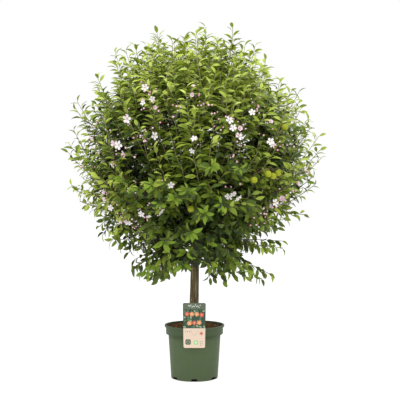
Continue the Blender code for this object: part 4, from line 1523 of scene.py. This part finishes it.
class APPLETREE_OT_label(bpy.types.Operator):
    """The plant label: a printed card with rounded corners, a die-cut tab, and a hook over the rim"""

    bl_idname = "apple_tree.label"
    bl_label = "Plant label"

    def execute(self, context):
        rng = random.Random(SEED + 7)
        leaf = flat_motif("motif_leaf", 14, leaf_outline)
        self.card()
        self.hook()
        self.leaf_bed(leaf, rng)
        self.blooms(rng)
        self.garland(leaf)
        self.lower_part(leaf)
        return {"FINISHED"}

    def ink(self, name, template, placements):
        shader = Shader(f"ink_{name}", INKS[name], 0.34)
        dealt(f"label_{name}", [(template, placements)], shader, "label_card", smooth=False)

    def card(self):
        low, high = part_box("plant_label")
        outline = card_outline(low[1] + CARD, low[2], high[2])
        made = started_disc("label_card", len(outline), 1)
        move_corners(made, lambda number, _: outline[number])
        bpy.ops.mesh.select_all(action="SELECT")
        bpy.ops.mesh.extrude_region_move(TRANSFORM_OT_translate={"value": (0, -CARD, 0)})
        close_up(made)
        apply_modifier(made, "BEVEL", width=CARD_EDGE, segments=2, limit_method="ANGLE")
        finish_piece(made, label_shader(), "label_card", "plant_label")

    def hook(self):
        """A strip over the rim, bent down inside it."""
        place = (0, (HOOK_FRONT + HOOK_INSIDE) / 2, POT_TOP + 0.0014)
        strip = {"size": 1, "location": place, "scale": (HOOK_WIDTH, HOOK_INSIDE - HOOK_FRONT, CARD)}
        made = started("label_hook", bpy.ops.mesh.primitive_cube_add, **strip)
        bpy.ops.mesh.select_mode(type="FACE")
        pick(made, lambda place: place.y > 0)
        bpy.ops.mesh.extrude_region_move(TRANSFORM_OT_translate={"value": (0, 0.0006, -0.0006)})
        bpy.ops.mesh.extrude_region_move(TRANSFORM_OT_translate={"value": (0, 0, -HOOK_DROP)})
        close_up(made)
        apply_modifier(made, "BEVEL", width=CARD_EDGE, segments=2)
        finish_piece(made, Shader("label_back", (0.72, 0.66, 0.60), 0.4), "label_card")

    def leaf_bed(self, leaf, rng):
        """Rows of leaves in three greens, the lighter ones on top."""
        beds = {"leaf_dark": [], "leaf_mid": [], "leaf_light": []}
        for row in range(6):
            for column in range(7):
                x = -0.0365 + 0.0122 * column + rng.uniform(-0.002, 0.002)
                z = PICTURE_FOOT + 0.0065 + 0.0118 * row + rng.uniform(-0.002, 0.002)
                shade = rng.choice(list(beds))
                layer = 1 + list(beds).index(shade)
                size = rng.uniform(0.011, 0.015)
                beds[shade].append(printed(x, z, size, rng.uniform(0, math.tau), 0.8, layer))
        for shade, placements in beds.items():
            self.ink(shade, leaf, placements)

    def blooms(self, rng):
        """Coral and apricot blossoms with cream hearts, in two staggered rows."""
        bloom = flat_motif("motif_bloom", 40, blossom_outline)
        heart = flat_motif("motif_heart", 16, Vector)
        blooms = {"coral": [], "apricot": []}
        hearts = []
        for k in range(7):
            x = -0.0285 + 0.0095 * k
            z = (PICTURE_FOOT + BAND_FOOT) / 2 + 0.0165 * (-1) ** k + rng.uniform(-0.002, 0.002)
            colour = "coral" if k % 3 == 0 else "apricot"
            blooms[colour].append(printed(x, z, 0.0185, rng.uniform(0, math.tau), layer=5))
            hearts.append(printed(x, z, 0.0045, layer=6))
        for colour, placements in blooms.items():
            self.ink(colour, bloom, placements)
        self.ink("cream", heart, hearts)

    def garland(self, leaf):
        """White leaves to both sides of a waving line on the band."""
        garland = []
        for k in range(11):
            x = -0.0225 + 0.0045 * k
            z = (BAND_FOOT + GARLAND_TOP) / 2 + 0.0025 * math.sin(k * 1.3)
            garland.append(printed(x, z + 0.0022 * (-1) ** k, 0.0062, 0.9 * (-1) ** k - 1.57, 0.7))
        self.ink("white", leaf, garland)

    def lower_part(self, leaf):
        """Plain marks on the peach ground: tiles, a sun, drops and dots, and the line of the die-cut tab."""
        tile = flat_motif("motif_tile", 32, tile_outline)
        dot = flat_motif("motif_dot", 20, Vector)
        self.ink("dark_tile", tile, [printed(*DARK_TILE, 0.0210)])
        self.ink("tile_mark", leaf, [printed(*DARK_TILE, 0.015, math.tau * k / 6, 0.45, 2) for k in range(3)])
        self.ink("green_tile", tile, [printed(*GREEN_TILE, 0.0165)])
        self.ink("green_mark", leaf, [printed(*GREEN_TILE, 0.011, 0.7, 0.8, 2)])
        self.ink("sun", dot, [printed(*SUN, 0.0090), *printed_round(SUN, 0.0072, fan(8), 0.0024)])
        marks = [printed(0.0235 + 0.0068 * (k % 2), 0.148 + 0.0066 * (k // 2), 0.0046) for k in range(6)]
        marks += [printed(-0.033 + 0.0075 * k, 0.200, 0.0062, 0.6, 0.8) for k in range(3)]
        self.ink("grey", leaf, marks)
        half_round = [-math.pi + math.pi * k / 33 for k in range(34)]
        self.ink("tab_line", dot, printed_round(TAB, 0.0125, half_round, 0.0016, 0.021))


def label_shader():
    """Printed card: a green band, a dark picture ground and a peach lower part, each with a faint mottle."""
    shader = Shader("label_card", (0.80, 0.62, 0.50), 0.38)
    height = shader.coordinate("Z")
    mottle = shader.noise(0.006, 3)
    peach = shader.mix(mottle, (0.80, 0.60, 0.45), (0.84, 0.68, 0.54))
    ground = shader.mix(mottle, (0.010, 0.030, 0.016), (0.035, 0.080, 0.040))
    green = shader.mix(mottle, (0.100, 0.135, 0.075), (0.125, 0.165, 0.095))
    lower = shader.mix(height > PICTURE_FOOT, peach, ground)
    shader.set(Base_Color=shader.mix(height > BAND_FOOT, lower, green), Roughness=0.32 + 0.12 * mottle)
    return shader


# Stage


class APPLETREE_OT_stage(bpy.types.Operator):
    """Pale floor, soft studio light and the photograph's camera"""

    bl_idname = "apple_tree.stage"
    bl_label = "Stage"

    def execute(self, context):
        deselect()
        bpy.ops.mesh.primitive_plane_add(size=40, location=(0, 0, -0.0002))
        floor = bpy.context.object
        floor.name = "floor"
        glow = {"Emission_Color": (1, 1, 1), "Emission_Strength": 0.93}
        white = Shader("floor_white", (0.08, 0.08, 0.08), 0.9, **glow)
        floor.data.materials.append(white.material)
        key = self.soft_light("key_light", place=(-0.8, -1.8, 4.8), size=3.8, power=130)
        fill = self.soft_light("back_light", place=(1.2, 2.4, 3.8), size=3.4, power=120)
        self.white_world(context)
        camera = self.camera(context)
        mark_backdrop(floor, key, fill, camera)
        return {"FINISHED"}

    def white_world(self, context):
        world = bpy.data.worlds.new("studio")
        world.use_nodes = True
        background = world.node_tree.nodes["Background"]
        background.inputs["Color"].default_value = (1, 1, 1, 1)
        background.inputs["Strength"].default_value = 1.0
        context.scene.world = world

    def soft_light(self, name, place, size, power):
        """A round soft light that looks at the crown."""
        bpy.ops.object.light_add(type="AREA", location=place)
        light = bpy.context.object
        light.name = name
        light.data.shape = "DISK"
        light.data.size = size
        light.data.energy = power
        light.rotation_euler = (Vector((0, 0, 0.9)) - Vector(place)).to_track_quat("-Z", "Y").to_euler()
        return light

    def camera(self, context):
        bpy.ops.object.camera_add(location=CAMERA_PLACE, rotation=(math.pi / 2, 0, 0))
        camera = bpy.context.object
        camera.data.sensor_width = SENSOR
        camera.data.lens = SENSOR * FOCAL_PIXELS / PHOTO_PIXELS
        context.scene.camera = camera
        context.scene.view_settings.view_transform = "Standard"
        return camera


STEPS = (
    APPLETREE_OT_limbs,
    APPLETREE_OT_twigs,
    APPLETREE_OT_leaves,
    APPLETREE_OT_blossom,
    APPLETREE_OT_apples,
    APPLETREE_OT_pot,
    APPLETREE_OT_soil,
    APPLETREE_OT_label,
    APPLETREE_OT_stage,
)


class APPLETREE_PT_panel(bpy.types.Panel):
    """The tree's pieces, sizes and colours"""

    bl_label = "Apple tree"
    bl_idname = "APPLETREE_PT_panel"
    bl_space_type = "VIEW_3D"
    bl_region_type = "UI"
    bl_category = "Apple tree"

    def draw(self, context):
        for group in (context.scene.apple_tree_sizes, context.scene.apple_tree_colours):
            for name in group.__annotations__:
                self.layout.prop(group, name)
        for step in STEPS:
            self.layout.operator(step.bl_idname)


CLASSES = (Sizes, Colours, *STEPS, APPLETREE_PT_panel)


def register():
    for cls in CLASSES:
        bpy.utils.register_class(cls)
    bpy.types.Scene.apple_tree_sizes = PointerProperty(type=Sizes)
    bpy.types.Scene.apple_tree_colours = PointerProperty(type=Colours)


def unregister():
    del bpy.types.Scene.apple_tree_colours
    del bpy.types.Scene.apple_tree_sizes
    for cls in reversed(CLASSES):
        bpy.utils.unregister_class(cls)


def main():
    register()
    for step in STEPS:
        group, name = step.bl_idname.split(".")
        getattr(getattr(bpy.ops, group), name)()
    boxes = {"cad": CAD_BOX, "visual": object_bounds()}
    plain = {key: [list(map(float, corner)) for corner in box] for key, box in boxes.items()}


if __name__ == "__main__":
    main()
